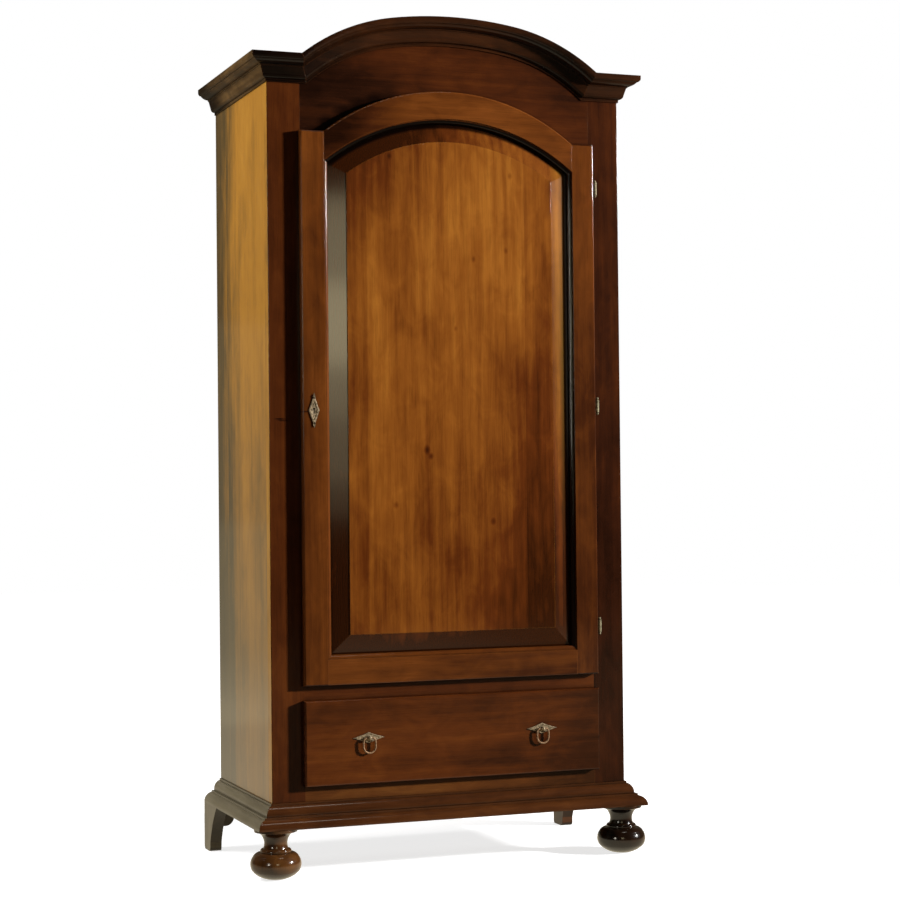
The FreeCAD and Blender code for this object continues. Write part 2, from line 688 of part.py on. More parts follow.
def keyhole(y0, y1):
    """A round hole with a slot below it."""
    depth = y1 - y0
    hole = Part.makeCylinder(2.8, depth, V(KEY_X, y0, KEY_Z + 4), V(0, 1, 0))
    slot = box(KEY_X - 1.4, KEY_X + 1.4, y0, y1, KEY_Z - 7, KEY_Z + 4)
    return hole.fuse(slot)


def lozenge(half_w, half_h, hollow):
    """A diamond plate with slightly hollow sides and a chamfered rim, centred on X = 0, Z = 0."""
    tips = [V(half_w, 0, 0), V(0, 0, half_h), V(-half_w, 0, 0), V(0, 0, -half_h)]
    path = []
    for i in range(4):
        a = tips[i]
        b = tips[(i + 1) % 4]
        path.append((a, (a + b) * 0.5 * (1.0 - hollow), b))
    plate = Part.Face(outline(path)).extrude(V(0, PLATE_T, 0))
    rim = [e for e in plate.Edges if abs(e.BoundBox.YMax) < 0.01]
    return plate.makeChamfer(0.5, rim)


def lock_bolt():
    """The bolt, drawn back, with its tail inside the lock case."""
    x0 = -OPEN_X + BOLT_IN
    return bolt_box(x0, x0 + BOLT_L, 0)


def lock_case():
    """A rim lock on the back of the door, hollow where its bolt slides."""
    x0 = -OPEN_X + FIT + 1
    case = box(x0, x0 + CASE_W, TONGUE_BACK, TONGUE_BACK + CASE_T,
               KEY_Z - CASE_H / 2, KEY_Z + CASE_H / 2)
    rim = [e for e in case.Edges if e.BoundBox.YMin > TONGUE_BACK + CASE_T - 1]
    case = case.makeFillet(1.5, rim)
    run = bolt_box(x0 - 1, x0 + BOLT_L + 4, 0.3)
    return case.cut(run).cut(keyhole(F, F + BOLT_Y - BOLT_T / 2 - 0.3))


def make_door():
    """Two stiles, an arched and a straight rail, the raised panel and the hardware."""
    groove = panel_groove()
    arch = door_arched_rail()
    foot = door_bottom_rail()
    left = door_stile()
    for tenon in door_tenon(*HEAD_TENON) + door_tenon(*FOOT_TENON):
        left = left.cut(tenon)
    right = mirrored(left)
    left = left.cut(keyhole(NEAR, FAR))
    hinges = [hinge_door_half(z) for z in HINGE_ZS]
    for hinge in hinges:
        right = right.cut(hinge)
    save("door_stile_left", left.cut(groove))
    save("door_stile_right", right.cut(groove))
    save("door_arched_rail", arch.cut(groove))
    save("door_bottom_rail", foot.cut(groove))
    save("door_panel", raised_panel())
    plate = lozenge(14, 40, 0.06)
    plate.translate(V(KEY_X, PLATE_Y, KEY_Z))
    save("escutcheon", plate.cut(keyhole(NEAR, F)))
    save("lock_case", lock_case())
    save("lock_bolt", lock_bolt())
    save("hinge_door_halves", Part.makeCompound(hinges))


# ---- drawer -------------------------------------------------------------------------------------------
def drawer_front():
    """A lipped slab with softened edges, grooved behind for the drawer bottom."""
    lip = box(-DOOR_X, DOOR_X, LIP_FACE, LIP_BACK, DRAWER_Z, DRAWER_TOP)
    rim = [e for e in lip.Edges if abs(e.BoundBox.YMax - LIP_FACE) < 0.01]
    lip = lip.makeFillet(ROUND, rim)
    x = OPEN_X - FIT
    tongue = box(-x, x, LIP_BACK, TONGUE_BACK, RAIL_TOP + 1.5, MID_RAIL[0] - FIT)
    return fused([lip, tongue])


def pull_plate():
    """The diamond plate behind a drawer ring."""
    return lozenge(41, 13.5, 0.08)


def pull_post():
    """The post that the ring hangs from: collar, waist and a bored knob."""
    wire = outline([
        (V(0, 0, 0), V(6.5, 0, 0)),
        (V(6.5, 0, 0), V(6.5, -1.2, 0)),
        (V(6.5, -1.2, 0), V(4.2, -2.4, 0), V(3.6, -3.6, 0)),
        (V(3.6, -3.6, 0), V(5.6, -7.4, 0), V(3.4, -11.6, 0)),
        (V(3.4, -11.6, 0), V(1.2, -12.6, 0)),
        (V(1.2, -12.6, 0), V(0, -12.6, 0)),
        (V(0, -12.6, 0), V(0, 0, 0)),
    ])
    knob = Part.Face(wire).revolve(V(0, 0, 0), V(0, 1, 0), 360)
    knob.rotate(V(0, 0, 0), V(0, 1, 0), 90)
    bore = Part.makeCylinder(WIRE + 0.08, 20, V(-10, PLATE_T - PULL_OUT, 0), V(1, 0, 0))
    return knob.cut(bore)


def pull_ring():
    """The ring: a straight bar through the post, then one bent loop of the same wire."""
    bar = 6.0
    bend = 9.5
    leg = 21.0
    wide = bar + bend
    out = bend * math.sin(math.pi / 4)
    down = bend - out
    spine = outline([
        (V(0, 0, 0), V(bar, 0, 0)),
        (V(bar, 0, 0), V(bar + out, 0, -down), V(wide, 0, -bend)),
        (V(wide, 0, -bend), V(wide, 0, -leg)),
        (V(wide, 0, -leg), V(0, 0, -leg - wide), V(-wide, 0, -leg)),
        (V(-wide, 0, -leg), V(-wide, 0, -bend)),
        (V(-wide, 0, -bend), V(-bar - out, 0, -down), V(-bar, 0, 0)),
        (V(-bar, 0, 0), V(0, 0, 0)),
    ])
    section = Part.Wire([Part.Circle(V(0, 0, 0), V(1, 0, 0), WIRE).toShape()])
    return spine.makePipeShell([section], True, False)


def make_drawer():
    """The drawer box with its front, and the two ring pulls."""
    x = OPEN_X - FIT - 1.5
    low = RAIL_TOP + 0.3
    high = MID_RAIL[0] - 12
    back = F + DRAWER_DEEP
    bottom_z = low + 14
    bottom = box(-x + 6, x - 6, TONGUE_BACK - 4, back - 6, bottom_z, bottom_z + DRAWER_BOTTOM_T)
    side = box(-x, -x + DRAWER_SIDE_T, TONGUE_BACK, back, low, high).cut(bottom)
    rear = box(-x + DRAWER_SIDE_T, x - DRAWER_SIDE_T, back - 14, back, low, high - 8).cut(bottom)
    save("drawer_front", drawer_front().cut(bottom))
    save("drawer_side_left", side)
    save("drawer_side_right", mirrored(side))
    save("drawer_back", rear)
    save("drawer_bottom", bottom)
    plates = []
    posts = []
    for x in (-PULL_X, PULL_X):
        plate = pull_plate()
        plate.translate(V(x, PLATE_Y, PULL_Z))
        post = pull_post()
        post.translate(V(x, PLATE_Y, PULL_Z))
        plates.append(plate)
        posts.append(post)
    save("pull_plates", Part.makeCompound(plates))
    save("pull_posts", Part.makeCompound(posts))
    for name, x in (("ring_left", -PULL_X), ("ring_right", PULL_X)):
        ring = pull_ring()
        ring.translate(V(x, LIP_FACE - PULL_OUT, PULL_Z))
        save(name, ring)


make_cornice()
make_base()
make_feet()
make_face_frame()
make_sides()
make_back()
make_boards()
make_drawer_guides()
make_door()
make_drawer()
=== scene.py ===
# %% [markdown]
# # Dressing a bonnetiere
# A bonnetiere is a tall, narrow country cupboard with one door: it once held the bonnets of the house. This
# one is of stained and varnished softwood, with an arched cornice, a raised panel in an arched door, a lipped
# drawer, turned bun feet in front and bracket feet behind. Its boards come in as finished solids, each in its
# own place. The lesson sets up a camera and lamps, gives every board its wood, and adds the small metalwork.

# %% Load the cupboard
import math
from collections import namedtuple

import bmesh
import bpy
from mathutils import Matrix, Vector


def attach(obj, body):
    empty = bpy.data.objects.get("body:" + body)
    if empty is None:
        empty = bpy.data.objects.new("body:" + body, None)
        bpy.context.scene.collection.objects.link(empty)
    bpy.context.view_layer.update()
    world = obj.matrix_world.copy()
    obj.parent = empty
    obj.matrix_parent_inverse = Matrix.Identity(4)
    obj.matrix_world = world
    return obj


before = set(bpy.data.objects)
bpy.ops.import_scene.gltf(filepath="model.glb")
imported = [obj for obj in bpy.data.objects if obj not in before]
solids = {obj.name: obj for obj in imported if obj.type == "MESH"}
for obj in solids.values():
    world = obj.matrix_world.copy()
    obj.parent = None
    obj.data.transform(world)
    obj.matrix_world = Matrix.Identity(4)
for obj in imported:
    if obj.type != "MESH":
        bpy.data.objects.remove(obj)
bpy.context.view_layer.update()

print("boards and fittings:", len(solids))

# %% [markdown]
# ## Where the viewer stands
# The camera stands a little to the left, about five metres off and just under a metre up, so the front and
# the left side both show. A long lens keeps the tall posts nearly parallel. The camera's place and its three
# turns are multiplied into one matrix, which needs no target object to point it.

# %% Camera
EYE = Vector((-1.8347, -5.0485, 0.9371))
LENS = 83.11
TURN_RIGHT = 0.3626
TILT_UP = 0.0177
LEAN = 0.0100
HALFWAY_UP = Vector((0, 0, 1))

camera = bpy.data.objects.new("camera", bpy.data.cameras.new("camera"))
camera.data.lens = LENS
camera.matrix_world = (
    Matrix.Translation(EYE)
    @ Matrix.Rotation(-TURN_RIGHT, 4, "Z")
    @ Matrix.Rotation(math.pi / 2 + TILT_UP, 4, "X")
    @ Matrix.Rotation(-LEAN, 4, "Z")
)
bpy.context.scene.collection.objects.link(camera)
bpy.context.scene.camera = camera
bpy.context.scene.view_settings.view_transform = "Standard"
print("the eye stands", round((EYE - HALFWAY_UP).length, 2), "m from the cupboard")

# %% [markdown]
# ## Helpers for shader nodes
# A material is a small tree of nodes, which can be joined up by hand in the shader editor. Written as code it
# can be used again for every board. One helper adds a node and joins whatever it is fed, a plain number or
# another node's output. The others are short names for the nodes that are put most often. Colours are written
# the way a painter reads them off a chart, from 0 to 255, and turned into the linear numbers that a shader
# wants.


# %% Helpers: nodes
def put(tree, kind, inputs=(), **settings):
    """Adds one node; its inputs go by name or by number."""
    node = tree.nodes.new("ShaderNode" + kind)
    for field, value in settings.items():
        setattr(node, field, value)
    for socket, value in dict(inputs).items():
        if isinstance(value, bpy.types.NodeSocket):
            tree.links.new(value, node.inputs[socket])
        else:
            node.inputs[socket].default_value = value
    return node


def reckon(tree, operation, *values):
    """Arithmetic on two or three values."""
    return put(tree, "Math", dict(enumerate(values)), operation=operation).outputs[0]


def remap(tree, value, span, levels, **settings):
    """Carries a value from the two ends of a span over to two levels, and holds it there past the ends."""
    sockets = {"Value": value, 1: span[0], 2: span[1], 3: levels[0], 4: levels[1]}
    return put(tree, "MapRange", sockets, **settings).outputs[0]


def axes(tree, vector):
    """A vector's X, Y and Z, each by its letter."""
    return put(tree, "SeparateXYZ", {0: vector}).outputs


def length(tree, vector):
    """The length of a vector."""
    return put(tree, "VectorMath", {0: vector}, operation="LENGTH").outputs[1]


print("helpers:", ", ".join(helper.__name__ for helper in (put, reckon, remap, axes, length)))

# %% Helpers: colours
NEAR_BLACK = 10


def linear(value):
    """One channel off the chart as linear light: the standard curve, which is straight near black."""
    if value > NEAR_BLACK:
        return ((value / 255 + 0.055) / 1.055) ** 2.4
    return value / 3295


def tone(red, green, blue):
    """A colour off the chart, as linear light."""
    return linear(red), linear(green), linear(blue)


def blend(tree, share, below, above, way="MIX"):
    """Lays one colour over another."""
    return put(tree, "Mix", {0: share, 6: below, 7: above}, data_type="RGBA", blend_type=way).outputs[2]


def shade(tree, value, *stops):
    """Turns a value from 0 to 1 into a colour."""
    node = put(tree, "ValToRGB", {0: value})
    elements = node.color_ramp.elements
    while len(elements) < len(stops):
        elements.new(1)
    for element, (spot, colour) in zip(elements, stops):
        element.position = spot
        element.color = (*colour, 1)
    return node.outputs[0]


print("a mid brown is", [round(v, 3) for v in tone(120, 70, 30)])

# %% [markdown]
# ## Floor
# The cupboard stands on a plain pale floor, one big disc. It takes the cupboard's shadow, and a glow that
# only the eye sees carries it up to white. A brighter lamp would whiten it too, but would bleach the wood as
# well. Old varnish mirrors the floor a little: most right round the feet and behind the cupboard, and less
# farther off. What the floor throws back at the wood is kept brown and weak, as from a dull old floor.

# %% Floor disc
FLOOR_RADIUS = 14.0

disc = bmesh.new()
bmesh.ops.create_circle(disc, cap_ends=True, radius=FLOOR_RADIUS, segments=96)
floor = bpy.data.objects.new("floor", bpy.data.meshes.new("floor"))
disc.to_mesh(floor.data)
disc.free()
bpy.context.scene.collection.objects.link(floor)
print("floor disc across:", 2 * FLOOR_RADIUS, "m")

# %% Floor paint
WHITE = (1, 1, 1, 1)
CREAM = (1.0, 0.88, 0.64, 1)
CHALK = (0.6, 0.6, 0.6, 1)
DULL_BROWN = (0.12, 0.095, 0.06, 1)


def who_looks(tree):
    """Two switches: 1 for a ray from the eye, also through glass, and 1 for a ray from a mirror."""
    rays = put(tree, "LightPath").outputs
    return reckon(tree, "MAXIMUM", rays["Is Camera Ray"], rays["Is Transmission Ray"]), rays["Is Glossy Ray"]


pale = bpy.data.materials.new("pale_floor")
pale.use_nodes = True
tree = pale.node_tree
tree.nodes.clear()
eye, mirror = who_looks(tree)
own = put(tree, "TexCoord").outputs["Object"]
away = length(tree, own)
behind = remap(tree, axes(tree, own)["Y"], span=(-0.5, 0.6), levels=(0.0, 1.0))
far_sheen = remap(tree, away, span=(0.8, 7.0), levels=(0.7, 0.12))
far_sheen = reckon(tree, "MULTIPLY", far_sheen, behind)
foot_sheen = remap(tree, away, span=(0.5, 1.3), levels=(0.85, 0.0))
mirrored = reckon(tree, "MULTIPLY", mirror, reckon(tree, "MAXIMUM", far_sheen, foot_sheen))
white = remap(tree, away, span=(0.8, 3.5), levels=(0.74, 1.0))
strength = reckon(tree, "MULTIPLY_ADD", eye, white, mirrored)
glow = put(tree, "Emission", {"Color": blend(tree, eye, CREAM, WHITE), "Strength": strength})
matt = put(tree, "BsdfDiffuse", {"Color": blend(tree, eye, DULL_BROWN, CHALK)})
both = put(tree, "AddShader", {0: glow.outputs[0], 1: matt.outputs[0]})
put(tree, "OutputMaterial", {"Surface": both.outputs[0]})
floor.data.materials.append(pale)
print("floor paint:", len(tree.nodes), "nodes")

# %% [markdown]
# ## White room
# The room is the world's background, so it needs no walls. The eye sees it white. The light it gives is faint
# and even, and the varnish mirrors a wall that is paler behind the cupboard than at the viewer's end. In a
# room that is bright all round the varnish would turn milky; in this one its browns stay deep.

# %% White room
DIM = 0.016
FRONT_END = 0.008
BACK_WALL = 0.10
FULL = 1.0


def choose(tree, share, no, yes):
    """One number or another, by a share from 0 to 1."""
    return put(tree, "Mix", {0: share, 2: no, 3: yes}, data_type="FLOAT").outputs[0]


room = bpy.data.worlds.new("white_room")
bpy.context.scene.world = room
room.use_nodes = True
tree = room.node_tree
eye, mirror = who_looks(tree)
heading = axes(tree, put(tree, "TexCoord").outputs["Generated"])
wall = remap(tree, heading["Y"], span=(0.0, 0.8), levels=(FRONT_END, BACK_WALL))
level = choose(tree, eye, choose(tree, mirror, DIM, wall), FULL)
background = tree.nodes["Background"]
tree.links.new(blend(tree, eye, CREAM, WHITE), background.inputs["Color"])
tree.links.new(level, background.inputs["Strength"])
print("the room gives", DIM, "of full light from every side")

# %% [markdown]
# ## Lamps
# The key lamp stands far to the right and only a little above eye height, so it rakes over the front and
# every lip throws a crisp shadow to the left. A flat lamp lights the wood and is mirrored in it at once, but
# old varnish mirrors a lamp far less than new varnish would. So the key lamp is hidden from mirrors, and a
# weak one in its place makes the glints. A broad lamp lights the side boards from the left, and one behind
# lights the back.


# %% Key, side and back lamps
def hang(name, spot, aim, size, power, colour=(1, 1, 1), lights=True, glints=True):
    """A flat lamp that shines from spot towards aim; the eye doesn't see it."""
    lamp = bpy.data.objects.new(name, bpy.data.lights.new(name, "AREA"))
    lamp.data.shape = "RECTANGLE"
    lamp.data.size, lamp.data.size_y = size
    lamp.data.energy = power
    lamp.data.color = colour
    lamp.location = spot
    lamp.rotation_mode = "QUATERNION"
    lamp.rotation_quaternion = (Vector(aim) - Vector(spot)).to_track_quat("-Z", "Y")
    lamp.visible_camera = False
    lamp.visible_diffuse = lights
    lamp.visible_glossy = glints
    bpy.context.scene.collection.objects.link(lamp)
    print(name, "of", power, "W,", round((Vector(aim) - Vector(spot)).length, 2), "m away")


key = dict(spot=(6.80, -4.10, 2.97), aim=(0.0, -0.2, 1.30))
hang("key_lamp", **key, size=(0.6, 0.6), power=1420, glints=False)
hang("key_glint", **key, size=(0.8, 0.6), power=300, lights=False)
hang("side_lamp", spot=(-2.60, 0.40, 2.30), aim=(-0.467, 0.03, 1.55), size=(1.2, 1.2), power=72, glints=False)
hang("back_lamp", spot=(-1.2, 4.20, 1.60), aim=(0.0, 0.27, 1.0), size=(1.6, 1.6), power=60, glints=False)

# %% [markdown]
# ## Window panes and glints
# Gloss shows by what it mirrors. The sloped border of the panel mirrors a tall window with five panes, in
# front and a little to the left. The mouldings mirror a pane at the left, a small lamp high at the right,
# which draws white lines down the upright edges, and a faint one overhead for the edges that look up. Behind
# the cupboard stand two pale boards, which the left side mirrors at a low angle. One large window would be
# simpler, but each pane is a lamp of its own, so that its strength can be set alone.

# %% Window panes, glints and boards
WARM = (1.0, 0.86, 0.53)
PALE_WARM = (1.0, 0.93, 0.80)
WINDOW_X = -1.03
WINDOW_Y = -4.64
WINDOW_WIDTH = 0.8
PANES = ((2.10, 0.36, 2.9), (1.70, 0.40, 5.8), (1.38, 0.24, 1.7), (1.11, 0.30, 1.2), (0.88, 0.14, 0.25))

for number, (height, tall, power) in enumerate(PANES, start=1):
    spot = (WINDOW_X, WINDOW_Y, height)
    straight_on = (WINDOW_X, 0.0, height)
    hang(f"window_{number}", spot, straight_on, (WINDOW_WIDTH, tall), power, WARM)
hang(
    "left_pane", spot=(-4.20, -3.40, 1.78), aim=(0.0, -0.2, 1.4), size=(0.6, 1.3), power=44,
    colour=PALE_WARM, lights=False
)
hang(
    "high_glint", spot=(4.57, -2.25, 2.41), aim=(-0.30, -0.24, 1.70), size=(0.4, 0.25), power=120,
    lights=False
)
hang(
    "roof_light", spot=(0.68, -2.10, 4.60), aim=(0.0, -0.24, 0.60), size=(1.2, 0.4), power=12,
    colour=PALE_WARM, lights=False
)
hang("low_board", spot=(-1.25, 3.00, 0.40), aim=(-1.25, 0.0, 0.40), size=(2.4, 0.8), power=1.6, colour=WARM)
hang("high_board", spot=(-1.25, 3.00, 1.20), aim=(-1.25, 0.0, 1.20), size=(2.4, 0.8), power=0.8, colour=WARM)

# %% [markdown]
# ## Wood: the grain
# Every board is the same pale softwood, sawn along its own length. Seen close up such wood has soft growth
# rings that run out into long flames, fine streaks, fibres, and cloudy patches where the stain took more or
# less. A scanned picture could show that, but it would repeat, and need laying on every side of every board.
# Noise that is stretched along the grain needs no picture. It is read in the cupboard's own coordinates, so
# it stays put, and each board slides the pattern a little, so that no two are alike.

# %% Wood: the grain
TURN = {"up": (0, 0, 0), "across": (0, math.pi / 2, 0), "deep": (math.pi / 2, 0, 0)}
RING_SHIFT = (0.045, 0.09, 0)
RING_STRETCH = (1, 1, 0.07)
FLAMES = {"Scale": 9, "Distortion": 10, "Detail": 3, "Detail Scale": 2.5, "Detail Roughness": 0.6}

Grain = namedtuple("Grain", "band streak fibre cloud blot ring")


def stretched(tree, where, along, scale, detail, rough=0.55, warp=0.0):
    """Noise drawn out along the grain."""
    eased = put(tree, "Mapping", {"Vector": where, "Scale": (1, 1, 1 / along)}).outputs[0]
    sockets = {"Vector": eased, "Scale": scale, "Detail": detail, "Roughness": rough, "Distortion": warp}
    return put(tree, "TexNoise", sockets).outputs[0]


def saw(tree, own, run, slide):
    """The patterns of one board, whose grain runs up, across or deep."""
    board = put(tree, "Mapping", {"Vector": own, "Rotation": TURN[run], "Location": slide}).outputs[0]
    rings = put(tree, "Mapping", {"Vector": board, "Location": RING_SHIFT, "Scale": RING_STRETCH}).outputs[0]
    flames = put(tree, "TexWave", {"Vector": rings, **FLAMES}, wave_type="RINGS", rings_direction="Z")
    return Grain(
        band=stretched(tree, board, along=10, scale=13, detail=2),
        streak=stretched(tree, board, along=30, scale=70, detail=4, rough=0.5),
        fibre=stretched(tree, board, along=40, scale=650, detail=2, rough=0.6),
        cloud=stretched(tree, board, along=2, scale=5.5, detail=3, rough=0.5, warp=0.4),
        blot=stretched(tree, board, along=2, scale=22, detail=5, rough=0.6, warp=0.8),
        ring=flames.outputs[1],
    )


def weigh(tree, *pairs):
    """Adds patterns up round one half, each by its weight."""
    total = 0.5 - sum(weight for _, weight in pairs) / 2
    for pattern, weight in pairs:
        total = reckon(tree, "MULTIPLY_ADD", pattern, weight, total)
    return total


print("patterns of a board:", ", ".join(Grain._fields))

# %% [markdown]
# ## Wood: marks
# A real board has places that took the stain deeper or that hands have changed, and some of the marks here
# are painted shade and painted light. Each is a soft spot with a centre and a reach, taken off the stain's
# depth before the depth becomes a colour, so it darkens the wood without hiding the grain. A mark below zero
# leaves the wood paler. Such marks could be painted on a picture, but a spot is moved by its numbers. A spot
# that has no reach along an axis runs right along it.

# %% Wood: marks
ANY = (0.0, 0.0)


def around(x=ANY, y=ANY, z=ANY):
    """A spot's centre and reach, from a pair for each axis; an axis that is left out isn't measured."""
    return tuple(zip(x, y, z))


def soft_spot(tree, where, centre, reach):
    """1 at a centre, falling softly to 0 at its reach."""
    scale = [1 / r if r else 0 for r in reach]
    shift = [-c * s for c, s in zip(centre, scale)]
    local = put(tree, "Mapping", {"Vector": where, "Location": shift, "Scale": scale}).outputs[0]
    return remap(tree, length(tree, local), (0.0, 1.0), (1.0, 0.0), interpolation_type="SMOOTHSTEP")


def marked(tree, depth, where, marks):
    """Takes the stain deeper at each mark: a spot and how much."""
    for spot, much in marks:
        depth = reckon(tree, "MULTIPLY_ADD", soft_spot(tree, where, *spot), -much, depth)
    return depth


EVERYWHERE = around()
# Painted shade: the front of the cupboard is darkened towards its low right corner.
LOW_RIGHT_SHADE = around(x=(0.40, 0.55), z=(0.40, 1.40))
print("the low right corner's centre and reach:", LOW_RIGHT_SHADE)

# %% [markdown]
# ## Wood: the stain
# Stain sinks deeper into end grain, at the ends of a board, than into its sides, and the wood of a glued
# panel changes tone from stave to stave. Painted shade goes the same way: deeper on faces that look left or
# down, away from the key lamp. All of this shifts one number, the depth. A ramp then turns the depth into the
# board's own dark, middle and light brown, with nearly black below them. Mixing three ready colours would
# smear them; one depth keeps the grain drawn in the same way through every change.

# %% Wood: the depth of the stain
GRAIN_AXIS = {"up": "Z", "across": "X", "deep": "Y"}
END_GRAIN = (0.08, 0.24)
# Painted shade: faces that look left or down, away from the key lamp, take the stain deeper.
LEFTWARD_SHADE = (-0.06, -0.2)
DOWNWARD_SHADE = (-0.1, -0.4)


def turned(tree, depth, facing, leaning, much, kept=None):
    """Takes the stain deeper where a face leans far enough one way, apart from a spot that is kept clear: in
    end grain, and as painted shade on faces that look away from the light.
    """
    deeper = remap(tree, facing, leaning, (0.0, -much))
    if kept:
        clear = reckon(tree, "SUBTRACT", 1.0, soft_spot(tree, *kept))
        deeper = reckon(tree, "MULTIPLY", deeper, clear)
    return reckon(tree, "ADD", depth, deeper)


def staved(tree, depth, own, staves):
    """Shifts the stain's depth stave by stave: each stave's right edge, as X, and its shift."""
    low, high = staves[0][0] - 1, staves[-1][0]
    spot = remap(tree, axes(tree, own)["X"], (low, high), (0.0, 1.0))
    edges = [0.0] + [(edge - low) / (high - low) for edge, _ in staves[:-1]]
    steps = [(edge, (0.5 + shift,) * 3) for edge, (_, shift) in zip(edges, staves)]
    shifts = shade(tree, spot, *steps)
    shifts.node.color_ramp.interpolation = "CONSTANT"
    return reckon(tree, "SUBTRACT", reckon(tree, "ADD", depth, shifts), 0.5)


print("grain runs along", GRAIN_AXIS)

# %% Wood: nail heads
PLANK_WIDTH = 0.2225
NAIL_IN = 0.035
NAIL_HEAD = (0.0045, 0.9)
RUST = (0.008, 0.016, 0.12)
RUST_DROP = 0.004


def nailed(tree, depth, own, heights):
    """Two nail heads across each plank at every height, each with a little rust run down below it."""
    place = axes(tree, own)
    folded = reckon(tree, "PINGPONG", place["X"], PLANK_WIDTH / 2)
    spots = put(tree, "CombineXYZ", {0: folded, 2: place["Z"]}).outputs[0]
    radius, dark = NAIL_HEAD
    wide, tall, faint = RUST
    for height in heights:
        head = around(x=(NAIL_IN, radius), z=(height, radius))
        rust = around(x=(NAIL_IN, wide), z=(height - RUST_DROP, tall))
        depth = marked(tree, depth, spots, [(head, dark), (rust, faint)])
    return depth


print("nails stand", NAIL_IN * 1000, "mm in from each plank's edge")

# %% Wood: from depth to colour
BLACKENED = 0.3
SIDEWAYS = (0.6, 0.9)
# Painted shade along an arch goes down to this share of the wood's colour.
RIM_SHADE = 0.1


def stained(tree, depth, stain):
    """The stain's colour at a depth: dark, middle and light brown, and nearly black below them."""
    dark, middle, light = stain
    deep = tuple(BLACKENED * v for v in dark)
    return shade(tree, depth, (0.0, deep), (0.24, dark), (0.5, middle), (0.8, light))


def flanked(tree, colour, depth, facing, side, stain):
    """Gives the faces that look left (-1) or right (1) another stain."""
    share = remap(tree, facing, [lean * side for lean in SIDEWAYS], (0.0, 1.0))
    return blend(tree, share, colour, stained(tree, depth, stain))


def shaded_rim(tree, colour, own, middle, shade_starts, shade_darkest):
    """Painted shade along an arch and straight down from its ends, from the distance where it starts to the
    one where it is darkest.
    """
    spread = put(tree, "VectorMath", {0: own, 1: middle}, operation="SUBTRACT").outputs[0]
    parts = axes(tree, spread)
    above = reckon(tree, "MAXIMUM", parts["Z"], 0.0)
    spoke = put(tree, "CombineXYZ", {0: parts["X"], 2: above}).outputs[0]
    rim_shade = remap(tree, length(tree, spoke), (shade_starts, shade_darkest), (1.0, RIM_SHADE))
    return blend(tree, 1.0, colour, rim_shade, "MULTIPLY")


print("below its dark brown a stain goes down to", BLACKENED, "of it")

# %% [markdown]
# ## Wood: wear and varnish
# On the stain come films of dust that has settled in the varnish and of painted light, edges that are rubbed
# back to the lightest brown, and darker corners, which are dirt and painted shade. Blender's Bevel node
# rounds an edge in the shading alone, so the board keeps its true size; where a wide rounding turns away from
# the flat face, there is an edge to rub. The Ambient Occlusion node finds the corners. The varnish itself is
# a clear coat over the wood, with a slight ripple of its own.

# %% Wood: wear
PORES = (0.30, 0.52)
PORE_SHADE = 0.78
EDGE_TURN = (0.985, 0.90)
EDGE_WEAR = 0.35
CORNER = 0.014
OPEN_AIR = (0.35, 0.9)


def pored(tree, colour, grain):
    """Darkens the thin pores between the fibres."""
    return blend(tree, 1.0, colour, remap(tree, grain.fibre, PORES, (PORE_SHADE, 1.0)), "MULTIPLY")


def dusted_and_lit(tree, colour, own, dust_and_light):
    """Lays a film at each spot, dust on some boards and painted light on others: a spot, its share and its
    colour.
    """
    for spot, share, film in dust_and_light:
        veil = reckon(tree, "MULTIPLY", soft_spot(tree, own, *spot), share)
        colour = blend(tree, veil, colour, (*film, 1))
    return colour


def rubbed(tree, colour, bare, ease):
    """Rubs the edges back to the bare brown."""
    wide = put(tree, "Bevel", {"Radius": 2 * ease}, samples=4).outputs[0]
    flat = put(tree, "NewGeometry").outputs["True Normal"]
    lined_up = put(tree, "VectorMath", {0: wide, 1: flat}, operation="DOT_PRODUCT").outputs[1]
    return blend(tree, remap(tree, lined_up, EDGE_TURN, (0.0, EDGE_WEAR)), colour, (*bare, 1))


def cornered(tree, colour, distance, openness, darkest):
    """Darkens the corners, where little of the air round a point is open: dirt and painted shade on the wood,
    patina on the metal.
    """
    nook = put(tree, "AmbientOcclusion", {"Distance": distance}, samples=4).outputs["AO"]
    return blend(tree, 1.0, colour, remap(tree, nook, openness, (darkest, 1.0)), "MULTIPLY")


# The corners darken as dirt and as painted shade.
print("dirt gathers within", CORNER * 1000, "mm of a corner")

# %% Wood: varnish
WORN_ROUGHNESS = (0.36, 0.56)
WOOD_SHINE = 0.02


def varnished(tree, paint, grain, varnish, gloss, ease):
    """Roughens the wood, lays a clear coat over it and gives both their relief."""
    soft = put(tree, "Bevel", {"Radius": ease}, samples=4).outputs[0]
    worn = weigh(tree, (grain.cloud, 0.6), (grain.fibre, 0.4))
    tree.links.new(remap(tree, worn, (0.2, 0.8), WORN_ROUGHNESS), paint.inputs["Roughness"])
    paint.inputs["Specular IOR Level"].default_value = WOOD_SHINE
    paint.inputs["Coat Weight"].default_value = varnish
    paint.inputs["Coat Roughness"].default_value = gloss

    relief = weigh(tree, (grain.fibre, 0.5), (grain.streak, 0.6), (grain.band, 0.5))
    wood_bump = {"Strength": 0.3, "Distance": 0.0006, "Height": relief, "Normal": soft}
    tree.links.new(put(tree, "Bump", wood_bump).outputs[0], paint.inputs["Normal"])
    flow = weigh(tree, (grain.streak, 0.5), (grain.blot, 0.5))
    coat_bump = {"Strength": 0.12, "Distance": 0.0005, "Height": flow, "Normal": soft}
    tree.links.new(put(tree, "Bump", coat_bump).outputs[0], paint.inputs["Coat Normal"])


print("bare wood is as rough as", WORN_ROUGHNESS)

# %% [markdown]
# ## Wood: one finish for all boards
# The steps come together in one function, in the order in which they happened to the cupboard. Every board
# could have its own tree of nodes, drawn by hand, but then a change would have to be made thirty times. Here
# a board says only what is its own: its stain, the way its grain runs, its marks, and how strongly each
# pattern shows.


